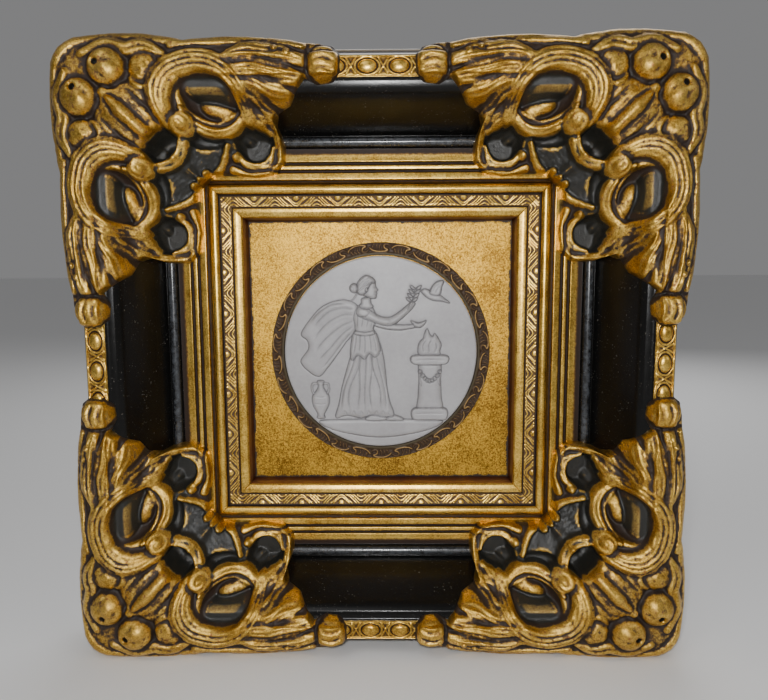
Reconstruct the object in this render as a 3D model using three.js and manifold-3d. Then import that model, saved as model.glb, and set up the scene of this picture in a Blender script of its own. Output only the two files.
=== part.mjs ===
// Framed round marble relief: a square gilt and black frame with cast corner ornaments, a gilt liner,
// a gilt panel, a carved ring and a round relief disc. Millimetres. X is to the right, Z is up, the
// front faces -Y and the flat back lies in the plane y = 0, with the origin at its centre.
import * as THREE from 'three';
import { mergeVertices } from 'three/addons/utils/BufferGeometryUtils.js';
import Module from 'manifold-3d';

// ---- driving dimensions -------------------------------------------------------------------------
const GAP = 0.3;                // clearance between pieces that touch
const RAIL_OUTER = 165;         // half the frame's width across the rails
const CORNER_ROUND = 24;        // rounding of the frame's outer corners
const RIM_LINE = 160;           // half-size of the square that the corner castings are set out from
const SIGHT = 95.5;             // half of the frame's inner opening
const RIM_HEIGHT = 52.3;        // height of the rim, where the egg course stands
const LEDGE_HEIGHT = 49.5;      // height of the ledge inside the rim
const SCOOP_FLOOR = 16.5;       // height at the foot of the black scoop
const TORUS_HEIGHT = 20;        // crest of the small round moulding below the scoop
const BEAD_HEIGHT = 22.6;       // crest of the liner's bead
const PANEL_THICKNESS = 10;
const PANEL_HALF = 79.6;        // the panel runs behind the liner's lip
const RING_OUTER = 63.6;
const RING_INNER = 56.2;
const RING_HEIGHT = 3.6;
const RING_LEAVES = 30;         // leaves carved round the ring
const DISC_RADIUS = RING_INNER - 0.4;
const DISC_THICKNESS = 3.4;
const EGG_LENGTH = 13.4;
const EGG_WIDTH = 8.4;
const EGG_PITCH = 16.8;
const EGG_LINE = 150.8;         // distance of the egg course from the centre
const CORNER_HEIGHT = 60;       // crest of a corner casting
const SKIRT_HEIGHT = 33;        // lowest edge of a casting on the frame's outer side

// ---- materials ----------------------------------------------------------------------------------
const finish = (color, roughness, metalness) => new THREE.MeshStandardMaterial({ color, roughness, metalness });
const railFinish = finish(0x2a2419, 0.35, 0.2);
const castFinish = finish(0xa8812f, 0.42, 0.75);
const linerFinish = finish(0xc79a3c, 0.38, 0.8);
const panelFinish = finish(0xc28f2e, 0.4, 0.75);
const ringFinish = finish(0x7d6229, 0.45, 0.7);
const marbleFinish = finish(0xd5d2d6, 0.5, 0);

// ---- solids -------------------------------------------------------------------------------------
const wasm = await Module();
wasm.setup();

function solidOf(geometry) {
  const bare = geometry.clone();
  for (const name of Object.keys(bare.attributes)) {
    if (name !== 'position') bare.deleteAttribute(name);
  }
  const merged = mergeVertices(bare, 1e-4);
  const corners = [];
  for (let i = 0; i < merged.index.count; i += 3) {
    const [a, b, c] = [0, 1, 2].map((k) => merged.index.getX(i + k));
    if (a !== b && b !== c && c !== a) corners.push(a, b, c);
  }
  return new wasm.Manifold(new wasm.Mesh({
    numProp: 3,
    vertProperties: new Float32Array(merged.attributes.position.array),
    triVerts: new Uint32Array(corners),
  }));
}

function geometryOf(solid) {
  const mesh = solid.getMesh();
  const geometry = new THREE.BufferGeometry();
  geometry.setAttribute('position', new THREE.BufferAttribute(mesh.vertProperties, 3));
  geometry.setIndex(new THREE.BufferAttribute(mesh.triVerts, 1));
  geometry.computeVertexNormals();
  return geometry;
}

const joined = (solids) => solids.reduce((whole, solid) => whole.add(solid));

const distance = (p, q) => Math.hypot(p[0] - q[0], p[1] - q[1], p[2] - q[2]);

// A closed skin through equal sections of points; the two ends meet in a loop or are capped.
function loft(sections, isLoop = false) {
  const count = sections[0].length;
  const rings = sections.length;
  const triangles = [];
  for (let i = 0; i < (isLoop ? rings : rings - 1); i += 1) {
    const next = (i + 1) % rings;
    for (let j = 0; j < count; j += 1) {
      const side = (j + 1) % count;
      const [a, b, c, d] = [i * count + j, next * count + j, next * count + side, i * count + side];
      const alongRidge = distance(sections[i][j], sections[next][side]) < distance(sections[next][j], sections[i][side]);
      triangles.push(...(alongRidge ? [a, b, c, a, c, d] : [a, b, d, b, c, d]));
    }
  }
  if (!isLoop) {
    for (const ring of [0, rings - 1]) {
      const flat = flatSection(sections[ring]);
      for (const face of THREE.ShapeUtils.triangulateShape(flat, [])) {
        const order = ring === 0 ? face : [...face].reverse();
        triangles.push(...order.map((k) => ring * count + k));
      }
    }
  }
  const geometry = new THREE.BufferGeometry();
  geometry.setAttribute('position', new THREE.Float32BufferAttribute(sections.flat(2), 3));
  geometry.setIndex(triangles);
  return outward(geometry);
}

// The section's points in its own plane, in the order that keeps the cap's faces consistent.
function flatSection(section) {
  const points = section.map((p) => new THREE.Vector3(...p));
  const normal = new THREE.Vector3();
  points.forEach((p, k) => normal.add(p.clone().cross(points[(k + 1) % points.length])));
  normal.normalize();
  const across = points[1].clone().sub(points[0]).normalize();
  const up = normal.clone().cross(across);
  return points.map((p) => new THREE.Vector2(p.dot(across), p.dot(up)));
}

function outward(geometry) {
  const index = geometry.index.array;
  const place = geometry.attributes.position;
  const corner = (k) => new THREE.Vector3().fromBufferAttribute(place, index[k]);
  let volume = 0;
  for (let k = 0; k < index.length; k += 3) {
    volume += corner(k).dot(corner(k + 1).cross(corner(k + 2)));
  }
  if (volume < 0) {
    for (let k = 0; k < index.length; k += 3) [index[k], index[k + 1]] = [index[k + 1], index[k]];
  }
  return geometry;
}

function ellipsoid(centre, radii, columns = 8, rows = 5, turn = 0) {
  const ball = new THREE.SphereGeometry(1, columns, rows);
  ball.rotateX(Math.PI / 2);
  ball.scale(...radii);
  ball.rotateY(turn);
  ball.translate(...centre);
  return solidOf(ball);
}

// ---- mitred mouldings ---------------------------------------------------------------------------
// Profiles are lists of [distance from the centre, height above the back].
const RAIL_FRONT = [
  [RAIL_OUTER, 30], [161.5, 35], [158.5, 44], [156.6, 50.4], [155.5, RIM_HEIGHT], [146, RIM_HEIGHT],
  [145, LEDGE_HEIGHT + 0.6], [141, LEDGE_HEIGHT], [138, 46.5], [134, 39.5], [129, 30], [124.8, 21.6],
  [121.6, SCOOP_FLOOR], [120.4, 18.7], [118.2, TORUS_HEIGHT], [116.1, 19], [115, SCOOP_FLOOR],
  [107.8, 18.7], [107.2, 17.3], [106.3, 17.3], [105.4, 19.6], [103.6, 19.6], [102.9, 18.2], [102, 18.2],
  [101.5, 20.1], [98, 20.6], [97.4, 19.2], [SIGHT + 0.7, 19],
];
const LIP_BACK = 14.7;          // back of the lip that laps over the liner
const LINER_OUTER = 101.6;
const RAIL_PROFILE = [
  [LINER_OUTER + 0.4, 0], [RAIL_OUTER, 0], ...RAIL_FRONT, [SIGHT + 0.7, LIP_BACK], [LINER_OUTER + 0.4, LIP_BACK],
];
const LINER_PROFILE = [
  [PANEL_HALF + 0.4, 0], [LINER_OUTER, 0], [LINER_OUTER, LIP_BACK - GAP], [SIGHT + 0.3, LIP_BACK - GAP],
  [SIGHT, 19.8], [94.7, 21.7], [92.7, BEAD_HEIGHT], [90.6, 21.7], [89.8, 19.4], [89.2, 19.4], [88.8, 20.9],
  [83.2, 19.5], [82.8, 18.6], [82.2, 19.7], [78, 18.8], [77.2, 17.8], [75.4, PANEL_THICKNESS + GAP],
  [PANEL_HALF + 0.4, PANEL_THICKNESS + GAP],
];

function mitredBar(profile) {
  const outline = new THREE.Shape(profile.map(([across, height]) => new THREE.Vector2(across, height)));
  const bar = new THREE.ExtrudeGeometry(outline, { depth: 1, bevelEnabled: false });
  const place = bar.attributes.position;
  for (let i = 0; i < place.count; i += 1) {
    const [across, height, end] = [place.getX(i), place.getY(i), place.getZ(i)];
    place.setXYZ(i, (2 * end - 1) * (across - GAP / 2), -height, across);
  }
  return bar;
}

// Height of the rail's front above the back, at a distance from the centre.
function railHeight(across) {
  for (let k = 1; k < RAIL_FRONT.length; k += 1) {
    const [farAcross, farHeight] = RAIL_FRONT[k - 1];
    const [nearAcross, nearHeight] = RAIL_FRONT[k];
    if (across <= farAcross && across > nearAcross) {
      return farHeight + (nearHeight - farHeight) * (farAcross - across) / (farAcross - nearAcross);
    }
  }
  return across > RAIL_OUTER ? 0 : RAIL_FRONT.at(-1)[1];
}

// The frame's plan is a square with rounded corners.
function roundedPlan() {
  const half = RAIL_OUTER + 1;
  const plan = new THREE.Shape();
  plan.moveTo(half, 0);
  for (const turn of [0, 1, 2, 3]) {
    const [x, z] = [[1, 1], [-1, 1], [-1, -1], [1, -1]][turn].map((sign) => sign * (half - CORNER_ROUND));
    plan.absarc(x, z, CORNER_ROUND, turn * Math.PI / 2, (turn + 1) * Math.PI / 2, false);
  }
  plan.closePath();
  const prism = new THREE.ExtrudeGeometry(plan, { depth: 2 * RIM_HEIGHT, bevelEnabled: false, curveSegments: 5 });
  prism.rotateX(Math.PI / 2);
  prism.translate(0, RIM_HEIGHT / 2, 0);
  return solidOf(prism);
}
const framePlan = roundedPlan();

// One rail with the eggs and the small beads between them that show between two corner castings.
function rail(shift) {
  const pieces = [solidOf(mitredBar(RAIL_PROFILE)).intersect(framePlan)];
  for (const place of [-0.5, 0.5]) {
    const radii = [EGG_LENGTH / 2, 2.4, EGG_WIDTH / 2];
    pieces.push(ellipsoid([place * EGG_PITCH + shift, -RIM_HEIGHT, EGG_LINE], radii, 10, 5));
  }
  for (const place of [-1, 0, 1]) {
    const centre = [place * EGG_PITCH + shift, -RIM_HEIGHT, EGG_LINE];
    pieces.push(ellipsoid(centre, [1.4, 1.5, 3.6], 6, 4));
  }
  return geometryOf(joined(pieces));
}

// ---- corner castings ----------------------------------------------------------------------------
// Set out from the rim line's corner: u runs along one rail and v along the other, both inwards.
// Each casting is the same on both sides of its diagonal. Drawn at the top left corner.
const toObject = (u, v, height) => [u - RIM_LINE, -height, RIM_LINE - v];
const smooth = (low, high, x) => THREE.MathUtils.smoothstep(x, low, high);

// Stations along one arm, from the diagonal to the tip: [share, outer u, outer v, inner u, inner v].
const ARM = [
  [0, 0, 0, 64, 64], [0.05, 6.5, -4.6, 69, 59.8], [0.17, 24, -6.5, 80, 60], [0.27, 38, -6.5, 92, 61.3],
  [0.36, 52, -4.4, 102, 60], [0.43, 61, -1.5, 108, 53], [0.5, 72, -4, 108, 43], [0.57, 84, -5.5, 104.5, 34],
  [0.64, 95, -4.4, 107, 29], [0.74, 106, -2, 114, 26], [0.83, 115, -0.6, 118.5, 19], [0.87, 120, 1, 121, 14.5],
  [0.92, 126, -0.6, 126, 17.6], [0.97, 133, 0.6, 133, 16.5], [1, 137, 5, 137, 12],
];

function edgesAt(share) {
  const along = Math.abs(share);
  let k = 1;
  while (k < ARM.length - 1 && ARM[k][0] < along) k += 1;
  const part = (along - ARM[k - 1][0]) / (ARM[k][0] - ARM[k - 1][0]);
  const [, outerU, outerV, innerU, innerV] = ARM[k].map((b, n) => ARM[k - 1][n] + (b - ARM[k - 1][n]) * part);
  return share < 0 ? [outerV, outerU, innerV, innerU] : [outerU, outerV, innerU, innerV];
}

// Height of the casting's body, before its scrolls and leaves are laid on.
function bodyHeight(u, v) {
  const along = Math.abs(u - v);
  const inward = -5 * Math.log(Math.exp(-u / 5) + Math.exp(-v / 5));
  const fallStart = Math.max(4, 28 - 0.4 * along);
  const fallEnd = 76 - 0.3 * along;
  const crest = CORNER_HEIGHT - 3 - 0.04 * along;
  const fall = (crest - 20) * smooth(fallStart, fallEnd, inward);
  const edgeDrop = 20 * Math.max(0, (8 - inward) / 14) ** 2;
  return Math.max(crest - fall - edgeDrop, railHeight(RIM_LINE - Math.min(u, v)) + 3);
}

// Scrolls and leaves on one arm; the other arm is the same with u and v exchanged.
// Round bosses: [u, v, radius, rise].
const BOSSES = [[25, 9.5, 11, 7], [44, 9, 8, 5], [57, 35, 9, 7], [129, 9, 10, 6], [61.5, 61.5, 6, 4]];
// Tapering ridges along smooth lines: [half-width, height, points...].
const RIDGES = [
  [7, 8, [55, 38], [48, 27], [53, 13], [68, 5], [86, 7], [99, 18], [103, 31]],
  [5, 5, [96, 4], [108, 8], [118, 17]],
  [5.5, 6, [84, 47], [80, 55], [90, 58.5], [101, 57], [105, 49], [101, 38]],
  [8, 7, [18, 18], [28, 28], [36, 36], [41, 41]],
  [6, 6, [38, 60], [47, 60], [54, 54], [60, 47], [60, 38]],
];
// Oval hollows: [u, v, half-length, half-width, depth, turn in radians].
const HOLLOWS = [[76, 25, 12, 9.5, 10, 0.1], [92.5, 45.5, 10, 9, 9, 0], [68, 47, 9, 6, 5, -0.8], [48, 48, 9, 7, 10, -0.785]];

const ridgeLines = RIDGES.map(([half, height, ...points]) => {
  const line = new THREE.CatmullRomCurve3(points.map(([u, v]) => new THREE.Vector3(u, v, 0)));
  return { half, height, points: line.getSpacedPoints(3 * points.length) };
});

function carvingOn(u, v) {
  let rise = 0;
  for (const [bu, bv, radius, height] of BOSSES) {
    const far = Math.hypot(u - bu, v - bv) / radius;
    if (far < 1) rise = Math.max(rise, height * (1 - far * far));
  }
  for (const { half, height, points } of ridgeLines) {
    points.forEach((point, k) => {
      const far = Math.hypot(u - point.x, v - point.y) / half;
      const taper = 0.3 + 0.7 * Math.sqrt(Math.sin(Math.PI * k / (points.length - 1)));
      if (far < 1) rise = Math.max(rise, height * taper * (1 - far * far));
    });
  }
  let fall = 0;
  for (const [hu, hv, length, width, depth, turn] of HOLLOWS) {
    const [du, dv] = [u - hu, v - hv];
    const x = (du * Math.cos(turn) + dv * Math.sin(turn)) / length;
    const y = (dv * Math.cos(turn) - du * Math.sin(turn)) / width;
    const far = Math.hypot(x, y);
    if (far < 1) fall = Math.max(fall, depth * (1 - far * far));
  }
  return rise - fall;
}

// The carving is softened over a small square, so that it suits the spacing of the surface's points.
function castingHeight(u, v) {
  let carving = 0;
  for (const du of [-SOFTENING, 0, SOFTENING]) {
    for (const dv of [-SOFTENING, 0, SOFTENING]) {
      const [a, b] = [u + du, v + dv];
      carving += carvingOn(Math.max(a, b), Math.min(a, b)) / 9;
    }
  }
  const carved = bodyHeight(u, v) + carving;
  return Math.max(carved, railHeight(RIM_LINE - Math.min(u, v)) + 3, SCOOP_FLOOR + 7.5);
}

const SOFTENING = 1.6;
const STATIONS = 23;            // stations on each arm
const ROWS = 12;                // rows from the outer edge to the inner one

function cornerCasting() {
  const sections = [];
  for (let i = -STATIONS; i <= STATIONS; i += 1) {
    const [outerU, outerV, innerU, innerV] = edgesAt(i / STATIONS);
    const at = (t) => [outerU + (innerU - outerU) * t, outerV + (innerV - outerV) * t];
    const section = [toObject(...at(0), SKIRT_HEIGHT + 5)];
    for (let k = 0; k <= ROWS; k += 1) {
      const [u, v] = at(0.05 + 0.95 * k / ROWS);
      section.push(toObject(u, v, castingHeight(u, v)));
    }
    for (const [t, height] of [[1, 12], [0.12, 12], [0, SKIRT_HEIGHT]]) section.push(toObject(...at(t), height));
    sections.push(section);
  }
  const parts = solidOf(loft(sections)).subtract(squareRing(RAIL_ENVELOPE)).decompose();
  return geometryOf(parts.sort((a, b) => b.volume() - a.volume())[0]);
}

// The back of a casting is plain: it bridges the small members of the moulding that it covers.
const RAIL_ENVELOPE = [
  [SIGHT, 0], [RAIL_OUTER, 0], [RAIL_OUTER, 30], [158.7, 44], [156.8, 50.6], [155.5, RIM_HEIGHT],
  [146, RIM_HEIGHT], [141, LEDGE_HEIGHT + 0.2], [138, 46.8], [134, 40], [122, SCOOP_FLOOR + 4],
  [104.5, TORUS_HEIGHT], [97.5, 20.8], [SIGHT, 19],
];

// A whole square moulding, grown by the gap, which a casting is cut to sit on.
function squareRing(profile) {
  const grown = profile.map((point, k) => {
    const before = profile.at(k - 1);
    const after = profile[(k + 1) % profile.length];
    const [x, y] = [after[0] - before[0], after[1] - before[1]];
    const length = Math.hypot(x, y);
    return new THREE.Vector2((point[0] + y / length * GAP * 1.2) * Math.SQRT2, -(point[1] - x / length * GAP * 1.2));
  });
  grown.push(grown[0].clone());
  const ring = new THREE.LatheGeometry(grown, 4);
  ring.rotateY(Math.PI / 4);
  return solidOf(outward(ring));
}

// ---- ring and disc ------------------------------------------------------------------------------
function carvedRing() {
  const perLeaf = 3;
  const count = RING_LEAVES * perLeaf;
  const base = PANEL_THICKNESS + GAP;
  const leaf = [0, 1, 0.7];
  const sections = [];
  for (let i = 0; i < count; i += 1) {
    const angle = 2 * Math.PI * i / count;
    const point = (radius, height) => [radius * Math.cos(angle), -height, radius * Math.sin(angle)];
    const outerRise = leaf[i % perLeaf];
    const innerRise = leaf[(i + 1) % perLeaf];
    sections.push([
      point(RING_OUTER, base),
      point(RING_OUTER - 1.4, base + RING_HEIGHT - 1.3 + 0.8 * outerRise),
      point(RING_INNER + 1.6, base + RING_HEIGHT - 0.8 + 0.8 * innerRise),
      point(RING_INNER, base),
    ]);
  }
  return loft(sections, true);
}

// Relief forms on the disc: outlines in [x, z] from the disc's centre, drawn as smooth closed curves,
// with a height above the disc's ground.
const RELIEF = {
  cloak: [1.2, [[-13, 27], [-24, 30], [-37, 24], [-46, 11], [-42, 4], [-47, -8], [-38, -15], [-30, -8], [-20, 4],
    [-12, 16]]],
  ground: [1.3, [[-34, -39.5], [0, -38.8], [34, -39.5], [27, -45.5], [0, -50.5], [-27, -45.5]]],
  skirt: [2.1, [[-14, 12], [-3.5, 12], [1, 0], [3, -18], [7, -37], [-8, -39], [-26, -38], [-23, -22], [-17, -2]]],
  farArm: [1.4, [[-6, 24], [3, 17], [13, 15.5], [20, 15], [20, 12.4], [12, 12], [1, 13], [-7, 19]]],
  bodice: [2.5, [[-13.5, 26], [-8, 28.5], [-3.5, 25], [-2.6, 18], [-4, 11], [-14, 11], [-15.5, 19]]],
  nearArm: [3, [[-13, 25], [-9, 27], [-2, 22.5], [6, 20], [14, 25], [18.5, 28.5], [20, 26.5], [14, 20.5], [6, 15],
    [-5, 17], [-12, 20]]],
  neck: [2, [[-10.5, 32], [-5.5, 32], [-5.5, 26], [-10.5, 26]]],
  head: [2.7, [[-8.5, 43], [-3.6, 41.5], [-1.8, 37.5], [-1.3, 35], [-2.6, 33], [-3.4, 30.6], [-7.5, 31], [-11, 35],
    [-11.5, 40]]],
  hair: [3, [[-8.5, 44.5], [-4, 43], [-6.5, 39], [-8.5, 34.5], [-12, 33.5], [-16.5, 35], [-16.5, 39.5],
    [-12.5, 42.5]]],
  altarShaft: [2.2, [[21, -33], [22, -12], [22, -6], [35, -6], [35, -12], [36, -33]]],
  altarBase: [2.7, [[18.8, -32], [18.8, -38.4], [37.6, -38.4], [37.6, -32]]],
  altarTop: [2.8, [[18.8, -6.5], [18, -1.5], [39, -1.5], [38.2, -6.5]]],
  flame: [1.6, [[23, -1], [21.5, 4], [25, 8], [27, 13], [30, 8.5], [33.5, 7], [35, 2], [33, -1]]],
  dove: [1.7, [[24, 30], [28, 30.5], [32, 34], [34, 39.5], [28.5, 37.5], [23, 34], [18.5, 33.5], [20.5, 31.5]]],
};

function reliefForm(height, points) {
  const line = new THREE.CatmullRomCurve3(points.map(([x, z]) => new THREE.Vector3(x, z, 0)), true, 'catmullrom', 0.4);
  const outline = new THREE.Shape(line.getPoints(Math.round(points.length * 1.4)).slice(0, -1)
    .map((p) => new THREE.Vector2(p.x, p.y)));
  const bevel = Math.min(0.9, height * 0.45);
  const form = new THREE.ExtrudeGeometry(outline, {
    depth: height + 0.6 - bevel, bevelEnabled: true, bevelThickness: bevel, bevelSize: bevel, bevelOffset: -bevel,
    bevelSegments: 1,
  });
  form.rotateX(Math.PI / 2);
  form.translate(0, -(DISC_BASE + DISC_THICKNESS - 0.6), 0);
  return solidOf(form);
}

const DISC_BASE = PANEL_THICKNESS + GAP;

function medallionSolid() {
  const disc = new THREE.CylinderGeometry(DISC_RADIUS, DISC_RADIUS, DISC_THICKNESS, 64);
  disc.translate(0, -(DISC_BASE + DISC_THICKNESS / 2), 0);
  const forms = Object.values(RELIEF).map(([height, points]) => reliefForm(height, points));
  return geometryOf(joined([solidOf(disc), ...forms]));
}

// ---- assembly -----------------------------------------------------------------------------------
const group = new THREE.Group();

function addPiece(name, geometry, material, turn = 0) {
  const mesh = new THREE.Mesh(geometry, material);
  mesh.name = name;
  mesh.rotation.y = turn;
  group.add(mesh);
}

// A piece drawn at the top, or at the top left corner, is turned into its place about the Y axis.
const QUARTER = Math.PI / 2;
const SIDES = [['top', 0, 0], ['right', QUARTER, 0.2], ['bottom', 2 * QUARTER, -1.6], ['left', 3 * QUARTER, -4.6]];
const CORNERS = [['top_left', 0], ['top_right', QUARTER], ['bottom_right', 2 * QUARTER], ['bottom_left', 3 * QUARTER]];

for (const [side, turn, eggShift] of SIDES) {
  addPiece(`rail_${side}`, rail(eggShift), railFinish, turn);
  addPiece(`liner_${side}`, mitredBar(LINER_PROFILE), linerFinish, turn);
}
const casting = cornerCasting();
for (const [corner, turn] of CORNERS) addPiece(`corner_${corner}`, casting.clone(), castFinish, turn);

const panelBox = new THREE.BoxGeometry(2 * PANEL_HALF, PANEL_THICKNESS, 2 * PANEL_HALF);
panelBox.translate(0, -PANEL_THICKNESS / 2, 0);
addPiece('panel', panelBox, panelFinish);
addPiece('medallion_ring', carvedRing(), ringFinish);
addPiece('medallion', medallionSolid(), marbleFinish);

export default group;
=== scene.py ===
"""Looks of a framed round marble relief: gilt and black frame, cast corners, liner, ring and carved disc.

Laid out as a Blender add-on and run as a script. Heights are measured forwards from the flat back, and
shapes are drawn in millimetres and placed in metres.
"""

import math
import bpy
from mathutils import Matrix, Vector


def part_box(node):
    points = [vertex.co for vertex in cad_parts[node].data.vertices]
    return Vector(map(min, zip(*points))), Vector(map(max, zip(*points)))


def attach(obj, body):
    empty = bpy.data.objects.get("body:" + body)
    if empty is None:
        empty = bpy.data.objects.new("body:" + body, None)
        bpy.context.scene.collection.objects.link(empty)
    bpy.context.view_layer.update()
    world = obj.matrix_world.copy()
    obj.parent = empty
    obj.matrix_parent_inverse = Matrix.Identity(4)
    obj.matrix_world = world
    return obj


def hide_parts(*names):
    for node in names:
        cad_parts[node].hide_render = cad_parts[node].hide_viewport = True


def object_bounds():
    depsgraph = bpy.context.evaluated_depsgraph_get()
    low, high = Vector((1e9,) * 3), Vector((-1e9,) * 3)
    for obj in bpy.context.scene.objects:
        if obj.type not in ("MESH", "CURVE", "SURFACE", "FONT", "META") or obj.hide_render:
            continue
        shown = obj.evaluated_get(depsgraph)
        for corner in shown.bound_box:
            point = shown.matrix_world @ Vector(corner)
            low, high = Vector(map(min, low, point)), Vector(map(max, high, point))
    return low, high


bl_info = {
    "name": "Framed Marble Relief",
    "version": (1, 0, 0),
    "blender": (4, 5, 0),
    "location": "View3D > Sidebar > Relief",
    "description": "Builds a round marble relief in a gilt and black frame with cast corner ornaments",
    "category": "Object",
}

import bmesh
import bpy
import numpy as np
from mathutils import Matrix, Vector

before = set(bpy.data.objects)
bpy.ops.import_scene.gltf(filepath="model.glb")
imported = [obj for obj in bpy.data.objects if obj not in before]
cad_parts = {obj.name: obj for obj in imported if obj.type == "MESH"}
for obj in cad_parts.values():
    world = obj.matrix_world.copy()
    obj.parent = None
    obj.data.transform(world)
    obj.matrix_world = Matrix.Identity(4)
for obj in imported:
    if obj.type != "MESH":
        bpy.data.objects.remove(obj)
CAD_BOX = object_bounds()
MM = 0.001


def reach(node, axis):
    """Largest distance of a node from the origin along one axis, in millimetres."""
    low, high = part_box(node)
    return max(abs(low[axis]), abs(high[axis])) / MM


RAIL_OUTER = reach("rail_top", 2)
PANEL_FRONT = reach("panel", 1)
RING_OUTER = reach("medallion_ring", 0)
DISC_RADIUS = reach("medallion", 0)
RING_INNER = DISC_RADIUS + 0.3
SEAT = PANEL_FRONT + 0.3    # height of the plane that the ring and the disc start from
DISC_THICKNESS = 3.4
RIM_LINE = 160.0            # the corner castings are set out from a square of this half-size
RIM_HEIGHT = 52.3
RIM_STRIP = (155.4, 145.6)  # outer and inner edge of the rim's flat strip
EGG_LINE = 150.8            # middle line of the eggs on that strip
CORNER_ROUND = 24.0         # radius of the rails' outer corners
BAND_LINE = 86.0            # middle line of the liner's carved band
RING_LINE = 60.5            # middle line of the ring's carved field
SIDES = ("top", "right", "bottom", "left")
CORNERS = ("top_left", "top_right", "bottom_right", "bottom_left")
EGG_SHIFTS = {"top": 2.8, "right": -6.7, "bottom": -2.4, "left": 3.4}


# ---- values a user would change ---------------------------------------------------------------------

def colour_property(name, description, default):
    return bpy.props.FloatVectorProperty(
        name=name, description=description, subtype="COLOR", size=4, min=0, max=1, default=(*default, 1.0))


class ReliefSizes(bpy.types.PropertyGroup):
    egg_pitch: bpy.props.FloatProperty(
        name="Egg pitch", description="Distance between the eggs on the rim, in mm", default=16.4)
    ring_scrolls: bpy.props.IntProperty(
        name="Ring scrolls", description="Scrolls carved round the ring", default=30)
    band_period: bpy.props.FloatProperty(
        name="Band period", description="Length of one zigzag on the liner's band, in mm", default=23.4)
    casting_columns: bpy.props.IntProperty(
        name="Casting columns", description="Mesh columns on each arm of a corner casting", default=176)
    casting_rows: bpy.props.IntProperty(
        name="Casting rows", description="Mesh rows across a corner casting", default=110)
    disc_cells: bpy.props.IntProperty(
        name="Disc cells", description="Mesh cells across the relief disc", default=300)


class ReliefColours(bpy.types.PropertyGroup):
    bright_gold: colour_property("Bright gold", "Rubbed gilding on the high places", (0.92, 0.62, 0.14))
    deep_gold: colour_property("Deep gold", "Gilding away from the light", (0.36, 0.18, 0.022))
    panel_gold: colour_property("Panel gold", "Speckled gilding of the flat panel", (0.66, 0.38, 0.045))
    bole: colour_property("Bole", "Red ground that shows through worn gilding", (0.21, 0.035, 0.02))
    russet: colour_property("Russet", "Brown varnish between the gold and the dark toning",
                            (0.115, 0.045, 0.012))
    umber: colour_property("Umber", "Dark toning in the recesses", (0.022, 0.011, 0.006))
    # Grey-black of the castings' deep hollows: black ground showing there, and painted shade.
    soot: colour_property("Soot", "Grey-black toning in the deep hollows", (0.012, 0.012, 0.010))
    ebony: colour_property("Ebony", "Gloss black of the scoop", (0.004, 0.0038, 0.0035))
    marble: colour_property("Marble", "Honed white marble", (0.37, 0.36, 0.365))
    # Grey darkening of the marble along its carved outlines and creases and in its low places.
    marble_line: colour_property("Marble line", "Grey settled in the carved lines", (0.07, 0.068, 0.072))
    bare_wood: colour_property("Bare wood", "Unfinished wood of the back", (0.32, 0.20, 0.11))


# ---- lines, distances and meshes --------------------------------------------------------------------

def smooth_line(points, steps=7, closed=False):
    """Points of a Catmull-Rom line through the given points."""
    points = np.asarray(points, float)
    count = len(points)
    if closed:
        ids = [(k - 1, k, (k + 1) % count, (k + 2) % count) for k in range(count)]
    else:
        ids = [(max(k - 1, 0), k, k + 1, min(k + 2, count - 1)) for k in range(count - 1)]
    t = (np.arange(steps) / steps)[:, None]
    spans = []
    for before, start, end, after in ids:
        p0, p1, p2, p3 = (points[k] for k in (before, start, end, after))
        spans.append(0.5 * (2 * p1 + (p2 - p0) * t + (2 * p0 - 5 * p1 + 4 * p2 - p3) * t ** 2
                            + (3 * p1 - p0 - 3 * p2 + p3) * t ** 3))
    line = np.concatenate(spans)
    return line if closed else np.vstack([line, points[-1]])


def step(low, high, value):
    """Smooth step from 0 at low to 1 at high."""
    share = np.clip((value - low) / (high - low), 0, 1)
    return share * share * (3 - 2 * share)


def nearest_on_line(line, x, y):
    """Distance, share of the length and signed side of the closest spot of a line, for every place."""
    start, span = line[:-1], np.diff(line, axis=0)
    length = np.hypot(*span.T)
    along = np.concatenate([[0], np.cumsum(length)])
    px = x[:, None] - start[None, :, 0]
    py = y[:, None] - start[None, :, 1]
    t = np.clip((px * span[:, 0] + py * span[:, 1]) / np.maximum(length ** 2, 1e-9), 0, 1)
    dx = px - t * span[:, 0]
    dy = py - t * span[:, 1]
    squared = dx * dx + dy * dy
    best = squared.argmin(axis=1)
    rows = np.arange(len(x))
    share = (along[best] + t[rows, best] * length[best]) / along[-1]
    side = np.sign(span[best, 0] * py[rows, best] - span[best, 1] * px[rows, best])
    return np.sqrt(squared[rows, best]), share, side


def inside_outline(line, x, y):
    """True where a place is inside a closed line."""
    inside = np.zeros(len(x), bool)
    for (x0, y0), (x1, y1) in zip(line, np.roll(line, -1, axis=0)):
        crosses = (y0 > y) != (y1 > y)
        if y0 != y1:
            inside ^= crosses & (x < (x1 - x0) * (y - y0) / (y1 - y0) + x0)
    return inside


def ids_near(x, y, low, high, margin):
    """Numbers of the places inside a box that is widened by a margin."""
    return np.flatnonzero((x > low[0] - margin) & (x < high[0] + margin)
                          & (y > low[1] - margin) & (y < high[1] + margin))


def value_noise(x, y, size, seed):
    """Smooth noise from -1 to 1 with spots of about the given size."""
    generator = np.random.default_rng(seed)
    table = generator.uniform(-1, 1, (64, 64))
    gx, gy = x / size, y / size
    ix, iy = np.floor(gx).astype(int), np.floor(gy).astype(int)
    fx, fy = step(0, 1, gx - ix), step(0, 1, gy - iy)
    ix, iy, jx, jy = ix % 64, iy % 64, (ix + 1) % 64, (iy + 1) % 64
    low = table[ix, iy] * (1 - fx) + table[jx, iy] * fx
    high = table[ix, jy] * (1 - fx) + table[jx, jy] * fx
    return low * (1 - fy) + high * fy


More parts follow.
